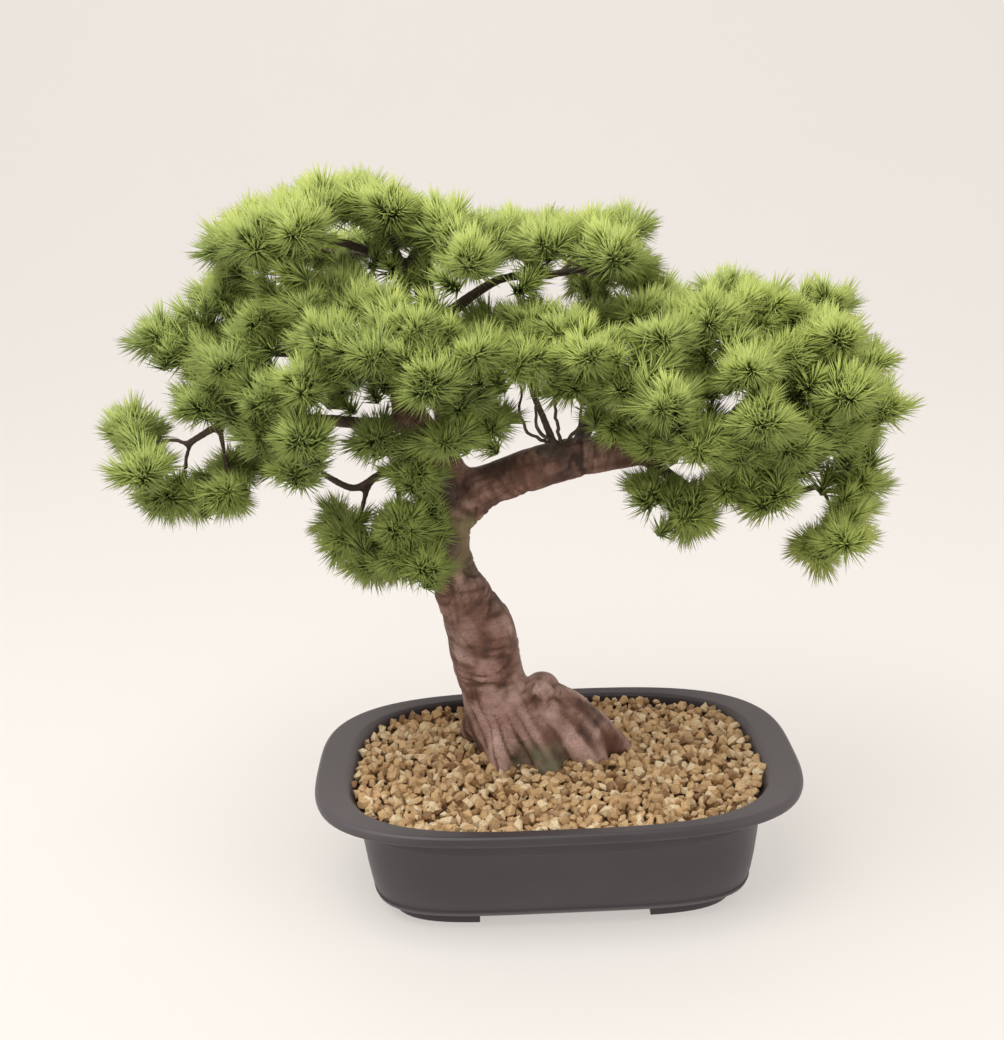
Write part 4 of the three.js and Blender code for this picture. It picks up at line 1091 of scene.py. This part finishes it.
class BONSAI_OT_sprays(bpy.types.Operator):
    """Grows every spray: its stem, its twigs and its tufts of needles"""
    bl_idname = "bonsai.sprays"
    bl_label = "Sprays"

    def execute(self, context):
        settings = context.scene.bonsai_foliage
        draw = random.Random(settings.seed)
        needle = needle_shape(settings)
        shapes = [shoot_shape(settings, needle, draw) for _ in range(settings.shapes)]
        materials = [needle_material(settings), twig_material(context.scene.bonsai_wood)]
        crown = [Vector(tuft) for *_, tufts in SPRAYS for tuft in tufts]
        heart = sum(crown, Vector()) / len(crown)
        for name, bough, share, tufts in SPRAYS:
            spray = Growth()
            runs, shoots = self.plan(bough, share, tufts, settings.shoots, draw)
            shoots += self.between(tufts, crown, heart, draw)
            for filler in FILLERS.get(name, ()):
                ahead = (stray(draw, 0.5) + Vector((0, -0.2, 0.8))).normalized()
                shoots.append((Vector(filler), ahead, 0.95, Vector(filler)))
            for place, ahead, size, middle in shoots:
                self.grow(spray, draw.choice(shapes), place, ahead, size, middle, crown, draw)
            wood = tubes(runs, 0)
            wood.polygons.foreach_set("material_index", [1] * len(wood.polygons))
            spray.add(wood, Matrix(), tip=0.0, tone=0.0, sun=0.0, shade=0.0)
            bmesh.ops.recalc_face_normals(spray.bm, faces=spray.bm.faces)
            keep(f"needles_{name}", spray.finish(), materials, [f"spray_{name}"])
        return {"FINISHED"}

    @staticmethod
    def plan(bough, share, tufts, count, draw):
        """Where a spray's twigs run, and the place, direction, size and tuft of each of its shoots."""
        branchlet = branchlet_for(bough, share, tufts)
        foot = branchlet["points"][-1]
        facing = (along(branchlet["points"], 1) - along(branchlet["points"], 0.98)).normalized()
        hub = foot + facing * STEM_LENGTH
        runs = [tapered([foot + facing * 0.3, hub], STEM_RADIUS, 0.8 * STEM_RADIUS)]
        shoots = []
        for tuft in tufts:
            middle = Vector(tuft)
            hangs = middle.z < hub.z - 4
            facing_out = ((middle - hub).normalized() + UP * (-0.3 if hangs else 0.8)).normalized()
            heart = middle - (facing_out * 4 if hangs else UP * 3)
            bend = hub.lerp(heart, 0.5) + stray(draw, 2)
            outward = (middle - hub) * LEVEL
            outward = outward / max(outward.length, 10)
            runs.append(tapered([along((hub, bend, heart), k / 5) for k in range(6)], *TUFT_TWIG))
            for index in range(count):
                reach = math.sqrt((index + 0.2) / count)
                turn = index * GOLDEN_TURN + draw.uniform(-0.5, 0.5)
                aside = Vector((math.cos(turn), math.sin(turn), 0)) * reach
                sway = stray(draw, 0.45)
                if hangs:
                    lean = aside * 1.5 + UP * 0.8
                    lean.rotate(facing_out.to_track_quat("Z", "Y"))
                    ahead = (lean.normalized() + sway).normalized()
                    place = heart + ahead * draw.uniform(6, 9)
                else:
                    ahead = (aside + outward * 0.2 + UP * (1.05 - 0.8 * reach) + sway).normalized()
                    place = heart + aside * 5 + UP * (draw.uniform(-3, 3) - 2 * reach) + ahead * 6
                runs.append(tapered([heart, place], *SHOOT_TWIG))
                shoots.append((place, ahead, draw.uniform(0.86, 1.14), middle))
            place = bend + stray(draw, 7)
            ahead = Vector((draw.uniform(-1, 1), draw.uniform(-1, 1), 0.6)).normalized()
            shoots.append((place, ahead, draw.uniform(0.85, 1.0), bend))
        return runs, shoots

    @staticmethod
    def between(tufts, crown, heart, draw):
        """Shoots that close the crown between a spray's tufts and the tufts next to them."""
        shoots = []
        for tuft in tufts:
            near = Vector(tuft)
            for far in crown[crown.index(near) + 1:]:
                if (far - near).length > CLOSE:
                    continue
                for share in BETWEEN:
                    root = near.lerp(far, share)
                    place = root + stray(draw, 4)
                    outward = ((root - heart) * LEVEL).normalized()
                    ahead = (outward * 0.5 + UP * 0.8 + stray(draw, 0.6)).normalized()
                    shoots.append((place, ahead, draw.uniform(0.86, 1.1), root))
        return shoots

    @staticmethod
    def shade_at(place, crown):
        """How far a place lies under the tufts of the crown, from 0 in the open to 1."""
        above = 0.0
        for other in crown:
            gap = other - place
            if gap.z > 5:
                above += math.exp(-(gap.x ** 2 + gap.y ** 2) / SHADE_SPREAD - gap.z / SHADE_DEPTH)
        return 1 - math.exp(-0.4 * above)

    def grow(self, spray, shape, place, ahead, size, middle, crown, draw):
        """Adds a shoot to a spray, with its share of sun and shade."""
        mesh, tip, tone = shape
        shade = self.shade_at(place, crown)
        matrix = Matrix.Translation(place) @ turned_to(ahead, draw.uniform(0, 6.28)) @ Matrix.Scale(size, 4)
        corners = np.empty(len(mesh.vertices) * 3)
        mesh.vertices.foreach_get("co", corners)
        rise = (corners.reshape(-1, 3) @ np.array(matrix.to_3x3())[2] + place.z - middle.z) / SUN_RISE
        aside = 0.0022 * (place.x - SUN_MIDDLE) * clamped((CROWN_TOP - place.z) / 40)
        low = 0.003 * max(0, CROWN_FLOOR - place.z)
        sun = (0.4 + 0.8 * rise - 0.3 * shade + aside + low).clip(0, 1)
        tone = tone + draw.uniform(-0.25, 0.25) + 0.35 * noise.noise(middle * 0.03)
        spray.add(mesh, matrix, tip=tip, tone=tone, sun=sun, shade=shade)


# The studio

# The photograph's size and focal length in pixels, the camera's place in millimetres and its angles
PHOTO_SIZE = (1004, 1040)
PHOTO_FOCUS = 1432.7
SENSOR = 36.0
CAMERA_PLACE = (-32.03, -692.08, 400.0)
CAMERA_YAW, CAMERA_PITCH, CAMERA_ROLL = (math.radians(angle) for angle in (0.67, 16.6, -2.1))
# The paper in metres: how far it runs in front, behind, up and to each side, and the radius of its bend
PAPER_FRONT, PAPER_BACK, PAPER_HEIGHT, PAPER_HALF, PAPER_BEND = 4.0, 1.9, 4.0, 5.0, 0.9
# Each light's place from the middle of the tray's base and its size, in metres
KEY_LIGHT, FILL_LIGHT = ((-0.35, -0.35, 1.35), 1.1), ((0.7, -1.3, 0.75), 1.2)


class BONSAI_OT_studio(bpy.types.Operator):
    """Sets the floor, the backdrop, the soft lights and the camera"""
    bl_idname = "bonsai.studio"
    bl_label = "Studio"

    def execute(self, context):
        settings = context.scene.bonsai_studio
        self.backdrop(context, settings)
        self.lights(context, settings)
        self.camera(context)
        return {"FINISHED"}

    def backdrop(self, context, settings):
        """One sheet of paper that runs from the floor up into the wall behind."""
        bm = bmesh.new()
        bend_start = PAPER_BACK - PAPER_BEND
        profile = [(-PAPER_FRONT, 0.0), (bend_start, 0.0)]
        profile += [(bend_start + PAPER_BEND * math.sin(angle), PAPER_BEND - PAPER_BEND * math.cos(angle))
                    for angle in (math.radians(6 * k) for k in range(1, 16))]
        profile.append((PAPER_BACK, PAPER_HEIGHT))
        row = [bm.verts.new((-PAPER_HALF, y, z)) for y, z in profile]
        edges = [bm.edges.new(pair) for pair in zip(row, row[1:])]
        made = bmesh.ops.extrude_edge_only(bm, edges=edges)
        other_row = [item for item in made["geom"] if isinstance(item, bmesh.types.BMVert)]
        bmesh.ops.translate(bm, vec=(2 * PAPER_HALF, 0, 0), verts=other_row)
        bmesh.ops.recalc_face_normals(bm, faces=bm.faces)
        mesh = mesh_of(bm, "paper")
        mesh.materials.append(paper_material(settings))
        mesh.shade_smooth()
        paper = bpy.data.objects.new("paper", mesh)
        context.scene.collection.objects.link(paper)

    def lights(self, context, settings):
        world = bpy.data.worlds.new("studio_sky")
        world.use_nodes = True
        sky = world.node_tree.nodes["Background"]
        sky.inputs["Color"].default_value = (*from_screen(250, 247, 244), 1)
        sky.inputs["Strength"].default_value = settings.sky
        context.scene.world = world
        target = TRAY_MIDDLE + UP * 0.2
        for name, (place, size), power in (("key", KEY_LIGHT, settings.key),
                                           ("fill", FILL_LIGHT, settings.fill)):
            data = bpy.data.lights.new(name, "AREA")
            data.shape = "SQUARE"
            data.size = size
            data.energy = power
            light = bpy.data.objects.new(name, data)
            light.location = TRAY_MIDDLE + Vector(place)
            light.rotation_mode = "QUATERNION"
            light.rotation_quaternion = (target - light.location).to_track_quat("-Z", "Y")
            context.scene.collection.objects.link(light)

    def camera(self, context):
        yaw, pitch, roll = CAMERA_YAW, CAMERA_PITCH, CAMERA_ROLL
        ahead = Vector((math.sin(yaw) * math.cos(pitch), math.cos(yaw) * math.cos(pitch), -math.sin(pitch)))
        right = ahead.cross(UP).normalized()
        turn = Matrix.Rotation(-roll, 3, ahead)
        right, up = turn @ right, turn @ right.cross(ahead)
        data = bpy.data.cameras.new("camera")
        data.sensor_width = SENSOR
        data.lens = SENSOR * PHOTO_FOCUS / max(PHOTO_SIZE)
        data.clip_start = 0.01
        camera = bpy.data.objects.new("camera", data)
        camera.matrix_world = Matrix.Translation(TO_FRAME @ Vector(CAMERA_PLACE)) @ Matrix(
            (right, up, -ahead)).transposed().to_4x4()
        context.scene.collection.objects.link(camera)
        context.scene.camera = camera
        context.scene.view_settings.view_transform = "Standard"


class BONSAI_PT_panel(bpy.types.Panel):
    bl_idname = "BONSAI_PT_panel"
    bl_label = "Pine Bonsai"
    bl_space_type = "VIEW_3D"
    bl_region_type = "UI"
    bl_category = "Bonsai"

    def draw(self, context):
        for operator, group in STEPS:
            box = self.layout.box()
            if group:
                settings = getattr(context.scene, group)
                for name in settings.__annotations__:
                    box.prop(settings, name)
            box.operator(operator)


STEPS = (
    ("bonsai.tray", "bonsai_tray"),
    ("bonsai.soil", None),
    ("bonsai.gravel", "bonsai_gravel"),
    ("bonsai.wood", "bonsai_wood"),
    ("bonsai.sprays", "bonsai_foliage"),
    ("bonsai.studio", "bonsai_studio"),
)
GROUPS = {
    "bonsai_tray": TraySettings,
    "bonsai_gravel": GravelSettings,
    "bonsai_wood": WoodSettings,
    "bonsai_foliage": FoliageSettings,
    "bonsai_studio": StudioSettings,
}
OPERATORS = (BONSAI_OT_tray, BONSAI_OT_soil, BONSAI_OT_gravel, BONSAI_OT_wood, BONSAI_OT_sprays,
             BONSAI_OT_studio, BONSAI_PT_panel)


def register():
    for cls in (*GROUPS.values(), *OPERATORS):
        bpy.utils.register_class(cls)
    for name, group in GROUPS.items():
        setattr(bpy.types.Scene, name, PointerProperty(type=group))


def unregister():
    for name in GROUPS:
        delattr(bpy.types.Scene, name)
    for cls in reversed((*GROUPS.values(), *OPERATORS)):
        bpy.utils.unregister_class(cls)


def main():
    register()
    bpy.ops.bonsai.tray()
    bpy.ops.bonsai.soil()
    bpy.ops.bonsai.gravel()
    bpy.ops.bonsai.wood()
    bpy.ops.bonsai.sprays()
    bpy.ops.bonsai.studio()


if __name__ == "__main__":
    main()
